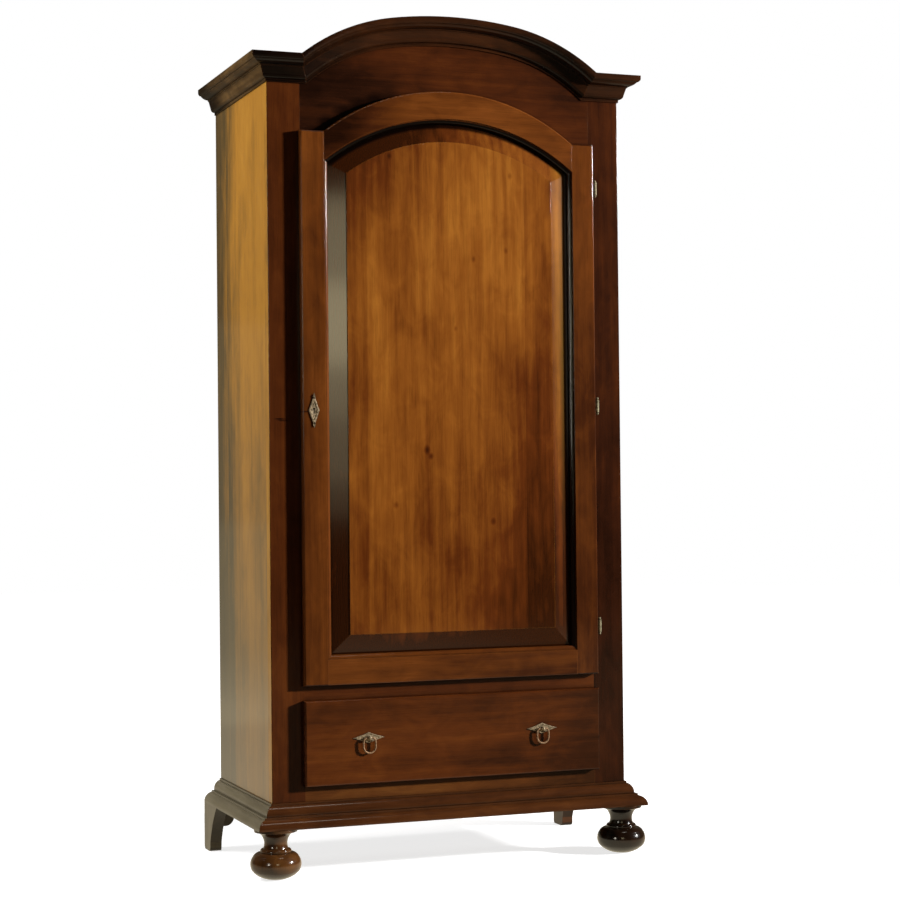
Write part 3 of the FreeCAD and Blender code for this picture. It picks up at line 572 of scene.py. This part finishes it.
# %% Wood: the finish
def wood(name, stain, run="up", slide=(0, 0, 0), marks=(), staves=(), dust_and_light=(), nails=(), fade=None,
         flank=None, rim=None, ends=0.3, left_face_shade=0, under_shade=0, bands=0.35, streaks=0.2, flame=0.06, blots=0.4,
         clouds=0.5, nooks=0.3, gloss=0.13, varnish=0.7, ease=0.0016):
    """One board's stained and varnished wood.

    stain: its dark, middle and light brown
    run, slide: the way of its grain, and how far the pattern slides
    marks, staves, dust_and_light, nails: what lies on it, as the functions above read them; marks and films
    include painted light and shade
    ends, fade: how much deeper the stain goes in end grain, and a spot where it doesn't
    left_face_shade, under_shade: painted shade, how much deeper the stain goes on faces that look left or
    down
    flank: a side, and the stain of the faces that look there
    rim: an arch's middle, and the distances from it at which painted shade starts and is darkest
    bands, streaks, flame, blots, clouds: how strongly each pattern shows
    nooks: how dark the corners get, as dirt and painted shade, 0 for black
    gloss, varnish: the clear coat's roughness, and how full it is
    ease: the rounding of its edges, in metres
    """
    material = bpy.data.materials.new(name)
    material.use_nodes = True
    tree = material.node_tree
    paint = tree.nodes["Principled BSDF"]
    places = put(tree, "TexCoord").outputs
    own = places["Object"]
    facing = axes(tree, places["Normal"])
    grain = saw(tree, own, run, slide)

    depth = weigh(
        tree, (grain.band, bands), (grain.streak, streaks), (grain.ring, flame), (grain.blot, blots),
        (grain.cloud, clouds)
    )
    depth = marked(tree, depth, own, marks)
    if staves:
        depth = staved(tree, depth, own, staves)
    along = reckon(tree, "ABSOLUTE", facing[GRAIN_AXIS[run]])
    depth = turned(tree, depth, along, END_GRAIN, ends, kept=(own, *fade) if fade else None)
    # Painted shade on faces that look left or down.
    if left_face_shade:
        depth = turned(tree, depth, facing["X"], LEFTWARD_SHADE, left_face_shade)
    if under_shade:
        depth = turned(tree, depth, facing["Z"], DOWNWARD_SHADE, under_shade)
    if nails:
        depth = nailed(tree, depth, own, nails)

    colour = stained(tree, depth, stain)
    if flank:
        colour = flanked(tree, colour, depth, facing["X"], *flank)
    # Painted shade along an arch.
    if rim:
        colour = shaded_rim(tree, colour, own, *rim)
    colour = pored(tree, colour, grain)
    # Films of dust, and of painted light.
    colour = dusted_and_lit(tree, colour, own, dust_and_light)
    colour = rubbed(tree, colour, stain[2], ease)
    # Darker corners: dirt and painted shade.
    colour = cornered(tree, colour, CORNER, OPEN_AIR, nooks)
    tree.links.new(colour, paint.inputs["Base Color"])
    varnished(tree, paint, grain, varnish, gloss, ease)
    return material


def finish(material, *names):
    """Gives a finish to solids."""
    for name in names:
        for holder in solids[name].material_slots:
            holder.material = material
    print(material.name + ":", ", ".join(names))


# %% [markdown]
# ## Side boards and rear posts
# The sides are one wide board each, with a narrow post behind it, flush. The left side is a yellow gold,
# darker towards the wall, with a grey-beige film low down that is partly dust and partly painted sheen. The
# right side is stained browner and darker, as painted shade, since the key lamp lights it full on. Inside,
# both are bare wood. A side could be cut into two objects, one for each finish, but it is one board, so its
# faces are told apart by the way they look.

# %% Side boards and rear posts
SIDE_STAIN = (tone(84, 64, 32), tone(170, 117, 39), tone(194, 141, 54))
# Painted shade: the right side's stain is browner and darker, so that the key lamp, which lights it full on,
# leaves it no brighter than the left.
RIGHT_SIDE_SHADED_STAIN = (tone(62, 42, 20), tone(118, 72, 25), tone(146, 94, 34))
INSIDE_STAIN = (tone(120, 78, 44), tone(156, 108, 66), tone(182, 136, 92))
# A grey-beige film low on the left side: partly dust, partly painted sheen.
DUST_AND_SHEEN = tone(132, 122, 100)
SIDE_DUST_AND_SHEEN = [(around(z=(0.10, 1.25)), 0.42, DUST_AND_SHEEN)]
BY_THE_WALL = around(y=(0.310, 0.31))
LOW_DOWN = around(z=(0.35, 0.9))
calm = dict(streaks=0.12, blots=0.2, clouds=0.3, flame=0.03)
thin_edge = dict(ease=0.0008)

finish(
    wood("side_wood_left", SIDE_STAIN, "up", (0.25, 0.0, 0.9), [(BY_THE_WALL, 0.40), (LOW_DOWN, 0.08)],
         dust_and_light=SIDE_DUST_AND_SHEEN, flank=(1, INSIDE_STAIN), **calm),
    "side_panel_left",
)
finish(
    wood("side_wood_right", RIGHT_SIDE_SHADED_STAIN, "up", (0.65, 0.5, 0.3), flank=(-1, INSIDE_STAIN), **calm),
    "side_panel_right",
)
finish(
    wood("rear_post_wood_left", SIDE_STAIN, "up", (0.95, 0.2, 0.6), [(BY_THE_WALL, 0.34), (LOW_DOWN, 0.04)],
         dust_and_light=SIDE_DUST_AND_SHEEN, **thin_edge, **calm),
    "rear_stile_left",
)
finish(
    wood("rear_post_wood_right", RIGHT_SIDE_SHADED_STAIN, "up", (0.35, 0.7, 0.1), **thin_edge, **calm),
    "rear_stile_right",
)

# %% [markdown]
# ## Posts and rails of the face frame
# The two front posts are sawn upright, the rails across. They are stained deepest, a red brown that turns
# nearly black in the shade. A thin line of painted shadow, as of a key in the lock, crosses the left post
# beside the key plate, and a crescent of painted shadow lies over the left half of the door's arch. The
# crescent could be drawn as a shape, but a row of soft spots, each set down on the arch, fades out as a
# shadow does.

# %% Face frame: marks
DOOR_ARCH_MIDDLE = 1.385
DOOR_ARCH_RADIUS = 0.534
# Painted shadow: a crescent of soft dark spots just above the left half of the door's arch.
ARCH_SHADOW_RISE = 0.010
ARCH_SHADOW_WIDE = 0.040
ARCH_SHADOW_TALL = 0.026
ARCH_SHADOW_SPOTS = ((-0.345, 0.40), (-0.310, 0.40), (-0.270, 0.38), (-0.230, 0.34), (-0.190, 0.28), (-0.150, 0.18))


def on_the_arch(x):
    """Height of the top of the door at a place across it."""
    return DOOR_ARCH_MIDDLE + math.sqrt(DOOR_ARCH_RADIUS ** 2 - x * x)


# Painted shade towards the low right corner; the right post is darker higher up as well.
POST_MARKS_RIGHT = [(LOW_RIGHT_SHADE, 0.30), (around(x=(0.42, 0.2), z=(1.7, 1.5)), 0.16)]
POST_MARKS_LEFT = [
    (around(z=(1.3, 1.2)), 0.06),
    # A thin line of painted shadow, as of a key in the lock.
    (around(x=(-0.440, 0.022), z=(1.105, 0.003)), 0.5),
    (around(x=(-0.432, 0.022), z=(1.101, 0.003)), 0.4),
]
# The painted shadow over the arch, then darker patches on the frieze.
FRIEZE_SHADOW_AND_MARKS = [
    (around(x=(x, ARCH_SHADOW_WIDE), z=(on_the_arch(x) + ARCH_SHADOW_RISE, ARCH_SHADOW_TALL)), much) for x, much in ARCH_SHADOW_SPOTS
] + [
    (around(x=(-0.40, 0.42), z=(1.92, 0.26)), 0.38),
    (around(x=(0.38, 0.30), z=(2.02, 0.15)), 0.24),
    (around(x=(-0.05, 0.40), z=(1.965, 0.025)), 0.12),
    (around(x=(0.25, 0.22), z=(1.90, 0.05)), 0.08),
]
print("marks on the frieze:", len(FRIEZE_SHADOW_AND_MARKS))

# %% Face frame: wood
FRAME_STAIN = (tone(46, 19, 6), tone(72, 33, 10), tone(98, 50, 17))
FRIEZE_STAIN = (tone(40, 17, 6), tone(68, 31, 10), tone(96, 48, 16))
LOW_RAIL_STAIN = (tone(52, 26, 9), tone(88, 48, 18), tone(116, 72, 30))
sharp_edge = dict(ease=0.0006)

finish(
    wood("post_wood_left", FRAME_STAIN, "up", (0.3, 0.1, 0.2), POST_MARKS_LEFT, flank=(-1, SIDE_STAIN),
         **sharp_edge),
    "front_stile_left",
)
finish(
    wood("post_wood_right", FRAME_STAIN, "up", (0.9, 0.4, 0.7), POST_MARKS_RIGHT, flank=(1, RIGHT_SIDE_SHADED_STAIN),
         **sharp_edge),
    "front_stile_right",
)
finish(
    wood("frieze_wood", FRIEZE_STAIN, "across", (0.1, 0.6, 0.3), FRIEZE_SHADOW_AND_MARKS, ends=0.0, **sharp_edge),
    "frieze_rail",
)
finish(wood("mid_rail_wood", FRAME_STAIN, "across", (0.7, 0.2, 0.9), **sharp_edge), "mid_rail")
finish(
    wood("low_rail_wood", LOW_RAIL_STAIN, "across", (0.3, 0.9, 0.4), [(LOW_RIGHT_SHADE, 0.2)], **sharp_edge),
    "bottom_rail",
)

# %% [markdown]
# ## Cornice, base moulding and feet
# Mouldings are run along the grain and mitred, so at a corner the grain turns with the moulding: across in
# front, deep at the sides. The left runs are paler and greyer than the front; on the base and the left
# bracket foot that grey is painted sheen, and the left cornice is nearly bare of varnish. The bun feet are
# turned from one upright block each and have kept the fullest varnish; the left one is painted paler low
# down, as a reflection of the floor.

# %% Cornice
CORNICE_STAIN = (tone(26, 12, 5), tone(50, 25, 10), tone(80, 42, 17))
CORNICE_LEFT_STAIN = (tone(30, 20, 10), tone(66, 48, 27), tone(110, 84, 50))
CORNICE_MARKS = [
    (around(x=(-0.52, 0.36), z=(1.94, 0.15)), 0.62),
    (around(x=(0.32, 0.22), z=(1.99, 0.12)), 0.30),
]
CORNICE_LEFT_MARKS = [(around(y=(0.27, 0.20)), 0.36)]

finish(
    wood("cornice_wood", CORNICE_STAIN, "across", (0.2, 0.9, 0.5), CORNICE_MARKS, ends=0.0, nooks=0.1,
         varnish=0.5),
    "cornice_front_left", "cornice_front_right", "cornice_arch",
)
finish(
    wood("cornice_left_wood", CORNICE_LEFT_STAIN, "deep", (0.5, 0.3, 0.1), CORNICE_LEFT_MARKS, streaks=0.35,
         blots=0.6, gloss=0.2, varnish=0.15, nooks=0.05),
    "cornice_side_left",
)
finish(wood("cornice_right_wood", CORNICE_STAIN, "deep", (0.1, 0.7, 0.4), nooks=0.1), "cornice_side_right")

# %% Base moulding
BASE_STAIN = (tone(40, 20, 8), tone(68, 36, 15), tone(98, 56, 24))
# Painted sheen: the left runs' pale grey-beige stain stands in for the light they mirror.
BASE_LEFT_SHEEN_STAIN = (tone(72, 62, 46), tone(106, 96, 75), tone(134, 124, 102))

finish(wood("base_wood", BASE_STAIN, "across", (0.8, 0.5, 0.6), nooks=0.15), "base_moulding_front")
finish(wood("base_left_wood", BASE_LEFT_SHEEN_STAIN, "deep", (0.4, 0.8, 0.3), gloss=0.3), "base_moulding_left")
finish(wood("base_right_wood", BASE_STAIN, "deep", (0.6, 0.1, 0.8), nooks=0.15), "base_moulding_right")

# %% Feet
FOOT_STAIN = (tone(34, 18, 8), tone(66, 38, 16), tone(100, 62, 26))
# Painted reflection: the left foot is paler low down, where it mirrors the floor.
PALER_LOW_REFLECTION = [(around(x=(-0.458, 0.09), y=(-0.25, 0.09), z=(0.045, 0.05)), -0.20)]
DARKER = [(around(x=(0.458, 0.3), y=(-0.20, 0.3), z=(0.06, 0.3)), 0.30)]
polished = dict(ends=0.1, gloss=0.16, varnish=1.0)

finish(wood("foot_wood_left", FOOT_STAIN, "up", (0.15, 0.35, 0.0), PALER_LOW_REFLECTION, **polished), "bun_foot_left")
finish(wood("foot_wood_right", FOOT_STAIN, "up", (0.55, 0.05, 0.4), DARKER, **polished), "bun_foot_right")
finish(wood("bracket_left_wood", BASE_LEFT_SHEEN_STAIN, "up", (0.85, 0.75, 0.2), gloss=0.3), "rear_foot_left")
finish(wood("bracket_right_wood", BASE_STAIN, "up", (0.35, 0.25, 0.7), gloss=0.3), "rear_foot_right")

# %% [markdown]
# ## Door frame
# Two upright stiles hold an arched rail at the top and a straight one at the foot. The wood is a little paler
# than the posts, and darkest at the left shoulder of the arch. Painted shade lies along the moulding inside
# the arch, in a line as thin as a pencil's, and on the faces of the arched rail that look down and of the
# right stile that look left; the low right corner is painted darker too. The line could be a thin strip of
# its own, but the arch has a known middle, so the distance from there draws the line.

# %% Door frame
DOOR_STAIN = (tone(60, 27, 8), tone(95, 49, 15), tone(124, 68, 24))
PANEL_ARCH_MIDDLE = (0.0, 0.0, 1.3285)
# Painted shade along the moulding inside the arch, as thin as a pencil line.
HEAD_RIM_SHADE = (PANEL_ARCH_MIDDLE, 0.5205, 0.519)
# Painted shade towards the low right corner, and darker low on the left.
STILE_MARKS = [(LOW_RIGHT_SHADE, 0.28), (around(x=(-0.37, 0.2), z=(0.4, 1.2)), 0.10)]
# The painted key shadow runs on across the left stile.
LEFT_STILE_MARKS = [*STILE_MARKS, (around(x=(-0.383, 0.013), z=(1.122, 0.003)), 0.5)]
RIGHT_STILE_MARKS = [*STILE_MARKS, (around(x=(0.36, 0.2), z=(1.05, 0.5)), 0.10)]
HEAD_MARKS = [
    (around(x=(-0.38, 0.30), z=(1.86, 0.30)), 0.60),
    (around(x=(0.36, 0.2), z=(1.84, 0.2)), 0.12),
]
deep_nooks = dict(nooks=0.08)

finish(
    wood("door_stile_wood_left", DOOR_STAIN, "up", (0.45, 0.15, 0.1), LEFT_STILE_MARKS, varnish=0.45,
         **deep_nooks),
    "door_stile_left",
)
finish(
    wood("door_stile_wood_right", DOOR_STAIN, "up", (0.05, 0.65, 0.8), RIGHT_STILE_MARKS, left_face_shade=0.5,
         varnish=0.8, gloss=0.09, **deep_nooks),
    "door_stile_right",
)
finish(
    wood("door_head_wood", DOOR_STAIN, "across", (0.35, 0.45, 0.6), HEAD_MARKS, ends=0.0, under_shade=0.5,
         rim=HEAD_RIM_SHADE, varnish=0.5, **deep_nooks),
    "door_arched_rail",
)
finish(
    wood("door_foot_wood", DOOR_STAIN, "across", (0.75, 0.25, 0.1), STILE_MARKS, ends=0.0, **deep_nooks),
    "door_bottom_rail",
)

# %% [markdown]
# ## The raised panel
# The panel is glued up from staves, each with its own tone. A sloped border runs round it, and at the top and
# bottom that slope cuts across the grain, where the stain soaks in and turns dark. The border is painted
# with light and shade as well: a golden film of light on its right side, shadow at its right foot and along
# the arch, and shade on its left side and bottom right. Small knots and cloudy patches are scattered over the
# field. Noise could scatter them too, but a joiner's panel has few knots, and each one is seen, so they are
# set down one by one.

# %% Panel: knots and clouds
CLOUDS = [
    (around(x=(-0.29, 0.07), z=(1.14, 0.26)), 0.14),
    (around(x=(-0.19, 0.05), z=(1.66, 0.16)), 0.10),
    (around(x=(-0.15, 0.06), z=(1.50, 0.07)), 0.09),
    (around(x=(0.145, 0.075), z=(1.235, 0.10)), 0.12),
    (around(x=(-0.10, 0.06), z=(0.86, 0.16)), 0.06),
    (around(x=(0.06, 0.07), z=(1.46, 0.13)), 0.06),
]
KNOTS = [
    (around(x=(-0.068, 0.012), z=(1.029, 0.016)), 0.30),
    (around(x=(-0.058, 0.009), z=(1.013, 0.012)), 0.25),
    (around(x=(-0.150, 0.010), z=(0.894, 0.013)), 0.22),
    (around(x=(0.106, 0.010), z=(0.850, 0.013)), 0.22),
    (around(x=(0.060, 0.008), z=(1.504, 0.012)), 0.20),
    (around(x=(0.160, 0.009), z=(1.716, 0.012)), 0.20),
    (around(x=(0.147, 0.008), z=(1.528, 0.012)), 0.18),
    (around(x=(-0.160, 0.009), z=(1.752, 0.012)), 0.18),
    (around(x=(-0.138, 0.006), z=(1.400, 0.055)), 0.14),
    (around(x=(0.010, 0.007), z=(1.330, 0.010)), 0.18),
]
print("clouds and knots on the panel:", len(CLOUDS), "and", len(KNOTS))

# %% Panel: wood
PANEL_STAIN = (tone(90, 42, 11), tone(132, 75, 23), tone(170, 108, 38))
STAVES = [(-0.222, -0.10), (-0.128, -0.02), (-0.022, -0.03), (0.112, 0.03), (0.197, 0.0), (0.400, -0.10)]
# Painted light: a golden film on the right border, which faces the key lamp.
RIGHT_BORDER_LIGHT = [(around(x=(0.298, 0.036), z=(1.45, 0.75)), 0.2, tone(164, 124, 40))]
# Painted shadow: a dark rim along the panel's arched edge, where the rail above shades it.
PANEL_RIM_SHADOW = (PANEL_ARCH_MIDDLE, 0.497, 0.503)
RIGHT_SHOULDER = around(x=(0.36, 0.52), z=(1.70, 0.30))
# Most of these are painted light and shade: shade lower down, at the low right corner, on the bottom border's
# right end and at the right border's foot under the stile's shadow, and light on a strip of the right border.
# The upper left is darker too.
PANEL_LIGHT_AND_SHADE = [
    (around(x=(-0.38, 0.42), z=(1.85, 0.52)), 0.42),
    (around(x=(-0.35, 0.34), z=(0.50, 0.90)), -0.02),
    (around(x=(0.288, 0.020), z=(1.1, 1.5)), -0.16),
    (around(x=(0.0, 0.9), z=(0.45, 0.8)), 0.08),
    (around(x=(0.34, 0.50), z=(0.545, 0.045)), 0.50),
    (around(z=(0.538, 0.040)), 0.16),
    (LOW_RIGHT_SHADE, 0.42),
    (around(x=(0.322, 0.030)), 0.60),
]

finish(
    wood("panel_wood", PANEL_STAIN, "up", (0.75, 0.85, 0.4), PANEL_LIGHT_AND_SHADE + CLOUDS + KNOTS, STAVES, RIGHT_BORDER_LIGHT,
         fade=RIGHT_SHOULDER, rim=PANEL_RIM_SHADOW, ends=0.34, left_face_shade=0.42, streaks=0.28, blots=0.36, gloss=0.09,
         varnish=1.0, ease=0.0008),
    "door_panel",
)

# %% [markdown]
# ## Drawer front
# The drawer's front is one board with a lip all round, sawn across. It is a shade redder than the door,
# darkened at the right as painted shade, and a little darker below the middle. It could share the rails'
# finish, but a board that moves has its own wear.

# %% Drawer front
DRAWER_STAIN = (tone(52, 23, 7), tone(84, 40, 12), tone(112, 60, 20))
# Painted shade at the right and towards the low right corner, and a darker band below the middle.
DRAWER_MARKS = [
    (LOW_RIGHT_SHADE, 0.18),
    (around(x=(0.40, 0.20)), 0.12),
    (around(x=(0.0, 0.30), z=(0.26, 0.04)), 0.10),
]

finish(wood("drawer_wood", DRAWER_STAIN, "across", (0.6, 0.1, 0.2), DRAWER_MARKS, ends=0.1), "drawer_front")

# %% [markdown]
# ## Back and inside
# What isn't seen was never varnished: the back's four planks, the shelves, the drawer's box and all that it
# runs on are bare wood that time has browned. The planks differ a little in tone, and are nailed at five
# heights. Nails could be modelled, but their heads lie flush, so dark spots with a little rust do. Inside,
# the boards that run the same way share one finish. They lie in different stretches of its pattern, so they
# still differ.

# %% Back planks
NAIL_ROWS = (0.162, 0.840, 1.206, 1.572, 1.939)
PLANK_TONES = (0.0, 0.10, -0.04, 0.06)
PLANK_SLIDE = (0.21, 0.3, 0.37)

for number, darker in enumerate(PLANK_TONES, start=1):
    slide = [step * number for step in PLANK_SLIDE]
    toned = [(EVERYWHERE, darker)]
    plank = wood(f"back_wood_{number}", INSIDE_STAIN, "up", slide, toned, nails=NAIL_ROWS, varnish=0.0)
    finish(plank, f"back_plank_{number}")

# %% Inside
PAIRS = ("shelf_cleats", "drawer_runner", "drawer_guide", "drawer_kicker", "drawer_side")
INSIDE_ACROSS = (
    "back_rail",
    "top_board",
    "cupboard_floor",
    "drawer_floor",
    "shelf_1",
    "shelf_2",
    "shelf_3",
    "drawer_back",
    "drawer_bottom",
)

pairs = [pair + side for pair in PAIRS for side in ("_left", "_right")]
finish(wood("inside_wood_deep", INSIDE_STAIN, "deep", varnish=0.0), *pairs)
finish(wood("inside_wood_across", INSIDE_STAIN, "across", varnish=0.0), *INSIDE_ACROSS)

# %% [markdown]
# ## Metalwork
# The key plate, the pulls and the hinges are brass, the lock is iron. Old brass is neither yellow nor smooth:
# it has gone grey and brown, dull in its hollows and paler where it is rubbed. A single metal colour would
# look like foil, so fine noise mixes bare metal and tarnish and roughens the dull spots, and the corners
# darken as they do on the wood. Tarnish is no metal, so the whole counts as metal by half.

# %% Metal: the finish
HALF_METAL = 0.5
ROUGHER = 0.18


def metal(name, bare, tarnish, polish):
    """Old metal: bare where it is rubbed, dull and dark elsewhere; a lower polish is smoother."""
    material = bpy.data.materials.new(name)
    material.use_nodes = True
    tree = material.node_tree
    paint = tree.nodes["Principled BSDF"]
    own = put(tree, "TexCoord").outputs["Object"]
    spots = put(tree, "TexNoise", {"Vector": own, "Scale": 260, "Detail": 4, "Roughness": 0.6}).outputs[0]
    grains = put(tree, "TexNoise", {"Vector": own, "Scale": 1400, "Detail": 2}).outputs[0]
    colour = shade(tree, spots, (0.38, tarnish), (0.62, bare))
    colour = cornered(tree, colour, distance=0.004, openness=(0.3, 0.9), darkest=0.3)
    tree.links.new(colour, paint.inputs["Base Color"])
    rough = remap(tree, spots, (0.3, 0.7), (polish + ROUGHER, polish))
    tree.links.new(rough, paint.inputs["Roughness"])
    paint.inputs["Metallic"].default_value = HALF_METAL
    relief = weigh(tree, (spots, 0.6), (grains, 0.3))
    bump = put(tree, "Bump", {"Strength": 0.5, "Distance": 0.0002, "Height": relief}).outputs[0]
    tree.links.new(bump, paint.inputs["Normal"])
    return material


print("tarnish is rougher by", ROUGHER)

# %% Metal: the fittings
BRASS = metal("old_brass", tone(184, 163, 132), tone(104, 90, 66), polish=0.46)
RING_BRASS = metal("brown_brass", tone(168, 134, 102), tone(120, 92, 66), polish=0.55)
HINGE_BRASS = metal("grey_brass", tone(158, 148, 118), tone(96, 88, 66), polish=0.5)
IRON = metal("old_iron", tone(120, 116, 110), tone(54, 50, 46), polish=0.42)
finish(BRASS, "escutcheon", "pull_plates", "pull_posts")
finish(RING_BRASS, "ring_left", "ring_right")
finish(HINGE_BRASS, "hinge_frame_halves", "hinge_door_halves")
finish(IRON, "lock_case", "lock_bolt", "strike_plate")

# %% [markdown]
# ## Raised work on the plates
# The key plate and the two pull plates are cast, each with a raised rim and round-headed pins. Round the
# keyhole there is an oval collar with a leaf above and below it. The work is only a millimetre or so high and
# could be a bump in the shading, but a bump throws no shadow, so it is modelled. All the work of one plate is
# drawn lying down in one mesh, then stood up and set on the middle of the plate's face, a hair deep so that
# no gap shows.

# %% Raised work: set it down
SUNK = Vector((0, 0.0002, 0))


def face_of(name, side=0):
    """Middle of a plate's front face; of a pair, the left plate (-1) or the right one (1)."""
    corners = [vert.co for vert in solids[name].data.vertices if vert.co.x * side >= 0]
    xs, ys, zs = zip(*corners)
    return Vector(((min(xs) + max(xs)) / 2, min(ys), (min(zs) + max(zs)) / 2))


def stand_up(shape, name, spot, body):
    """Turns a shape drawn flat to face the front, sets it down at a spot and fixes it to a body."""
    bmesh.ops.rotate(shape, verts=shape.verts, cent=(0, 0, 0), matrix=Matrix.Rotation(math.pi / 2, 3, "X"))
    bmesh.ops.translate(shape, verts=shape.verts, vec=spot + SUNK)
    bmesh.ops.recalc_face_normals(shape, faces=shape.faces)
    piece = bpy.data.objects.new(name, bpy.data.meshes.new(name))
    shape.to_mesh(piece.data)
    shape.free()
    bpy.context.scene.collection.objects.link(piece)
    piece.data.materials.append(BRASS)
    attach(piece, body)
    print(name, len(piece.data.polygons), "faces")


print("the key plate's face is at", [round(v, 4) for v in face_of("escutcheon")])

# %% [markdown]
# ## A raised rim
# The rim is a lozenge with a hole of the same shape. It starts as a circle of four sides, each cut up so that
# it can be drawn in a little. The outline is filled and inset, the field inside is taken out, and what is
# left is extruded and softened. It could be cut from a plate with a Boolean, which would leave untidy faces.

# %% Raised work: rim
SIDE_CUTS = 7
SHARP = 1.0
SOFTENED = 0.8


def add_rim(shape, half_wide, half_tall, hollow, width, height):
    """A raised, rounded rim round a lozenge whose sides are drawn in by a share of their reach."""
    start = bmesh.ops.create_circle(shape, cap_ends=False, radius=1.0, segments=4)["verts"]
    sides = {edge for vert in start for edge in vert.link_edges}
    bmesh.ops.subdivide_edges(shape, edges=list(sides), cuts=SIDE_CUTS)
    loop = {edge for edge in shape.edges if not edge.link_faces}
    corners = {vert for edge in loop for vert in edge.verts}
    for vert in corners:
        reach = abs(vert.co.x) - abs(vert.co.y)
        vert.co *= 1 - hollow * (1 - reach * reach)
    bmesh.ops.scale(shape, vec=(half_wide, half_tall, 1), verts=list(corners))
    field = bmesh.ops.edgeloop_fill(shape, edges=list(loop))["faces"]
    inset = bmesh.ops.inset_region(
        shape, faces=field, thickness=width, use_boundary=True, use_even_offset=True
    )
    bmesh.ops.delete(shape, geom=field, context="FACES_ONLY")
    grown = bmesh.ops.extrude_face_region(shape, geom=inset["faces"], use_keep_orig=True)["geom"]
    top = {part for part in grown if isinstance(part, bmesh.types.BMVert)}
    bmesh.ops.translate(shape, verts=list(top), vec=(0, 0, height))
    arris = [edge for edge in shape.edges if top.issuperset(edge.verts) and edge.calc_face_angle(0) > SHARP]
    bmesh.ops.bevel(
        shape, geom=arris, offset=SOFTENED * height, segments=4, profile=0.5, affect="EDGES", material=-1,
        clamp_overlap=True
    )


print("each side of a rim has", SIDE_CUTS + 1, "pieces")

# %% [markdown]
# ## Pins, leaves and the collar
# A pin's head is a ball, half sunk. A leaf is a low cone, drawn out long. The collar is a small circle spun
# once round the keyhole, then drawn out upwards into an oval. A ready-made torus would do as well, but a spin
# would also take a section that isn't round, should the collar want one.


# %% Raised work: pins, leaves and collar
def add_dome(shape, x, y, radius, height):
    """A round-headed pin, half sunk."""
    head = bmesh.ops.create_uvsphere(shape, u_segments=16, v_segments=8, radius=1.0)["verts"]
    bmesh.ops.scale(shape, vec=(radius, radius, height), verts=head)
    bmesh.ops.translate(shape, vec=(x, y, 0), verts=head)


def add_leaf(shape, y, half_wide, half_tall, height):
    """A small leaf, highest along its middle."""
    cone = bmesh.ops.create_cone(shape, cap_ends=True, segments=24, radius1=1.0, radius2=0.15, depth=1.0)
    blade = cone["verts"]
    bmesh.ops.translate(shape, vec=(0, 0, 0.5), verts=blade)
    bmesh.ops.scale(shape, vec=(half_wide, half_tall, height), verts=blade)
    bmesh.ops.translate(shape, vec=(0, y, 0), verts=blade)


def add_collar(shape, y, half_wide, half_tall, thick):
    """An oval collar: a small circle spun all round, then drawn out upwards."""
    start = bmesh.ops.create_circle(shape, cap_ends=False, radius=thick, segments=10)["verts"]
    bmesh.ops.rotate(shape, verts=start, cent=(0, 0, 0), matrix=Matrix.Rotation(math.pi / 2, 3, "X"))
    bmesh.ops.translate(shape, verts=start, vec=(half_wide, 0, 0))
    before = set(shape.verts) - set(start)
    edges = list({edge for vert in start for edge in vert.link_edges})
    bmesh.ops.spin(
        shape, geom=start + edges, cent=(0, 0, 0), axis=(0, 0, 1), dvec=(0, 0, 0), angle=2 * math.pi,
        steps=40, use_merge=True, use_duplicate=False
    )
    oval = [vert for vert in shape.verts if vert not in before]
    bmesh.ops.scale(shape, vec=(1, half_tall / half_wide, 1), verts=oval)
    bmesh.ops.translate(shape, vec=(0, y, 0), verts=oval)


print("small forms:", ", ".join(helper.__name__ for helper in (add_dome, add_leaf, add_collar)))

# %% Key plate
PIN_HEIGHT = 0.0012
LEAF = dict(half_wide=0.0026, half_tall=0.0050, height=0.0016)
LEAF_PLACES = (0.0145, -0.0165)
MIDDLE_PINS = (0.0225, 0.0285, -0.0240, -0.0290)
SIDE_PINS = (-0.0085, 0.0085)

relief = bmesh.new()
add_rim(relief, half_wide=0.0134, half_tall=0.0390, hollow=0.0, width=0.0052, height=0.0016)
add_collar(relief, y=-0.0012, half_wide=0.0058, half_tall=0.0092, thick=0.0010)
for y in LEAF_PLACES:
    add_leaf(relief, y, **LEAF)
for y in MIDDLE_PINS:
    add_dome(relief, 0.0, y, radius=0.0012, height=PIN_HEIGHT)
for x in SIDE_PINS:
    add_dome(relief, x, 0.0005, radius=0.0013, height=PIN_HEIGHT)
stand_up(relief, "key_plate_relief", face_of("escutcheon"), "door")

# %% Pull plates
PULL_PINS = (-0.0285, 0.0285)

for side_name, side in (("left", -1), ("right", 1)):
    relief = bmesh.new()
    add_rim(relief, half_wide=0.0400, half_tall=0.0131, hollow=0.04, width=0.0030, height=0.0013)
    for x in PULL_PINS:
        add_dome(relief, x, 0.0, radius=0.0015, height=PIN_HEIGHT)
    face = face_of("pull_plates", side)
    stand_up(relief, "pull_plate_relief_" + side_name, face, "drawer")
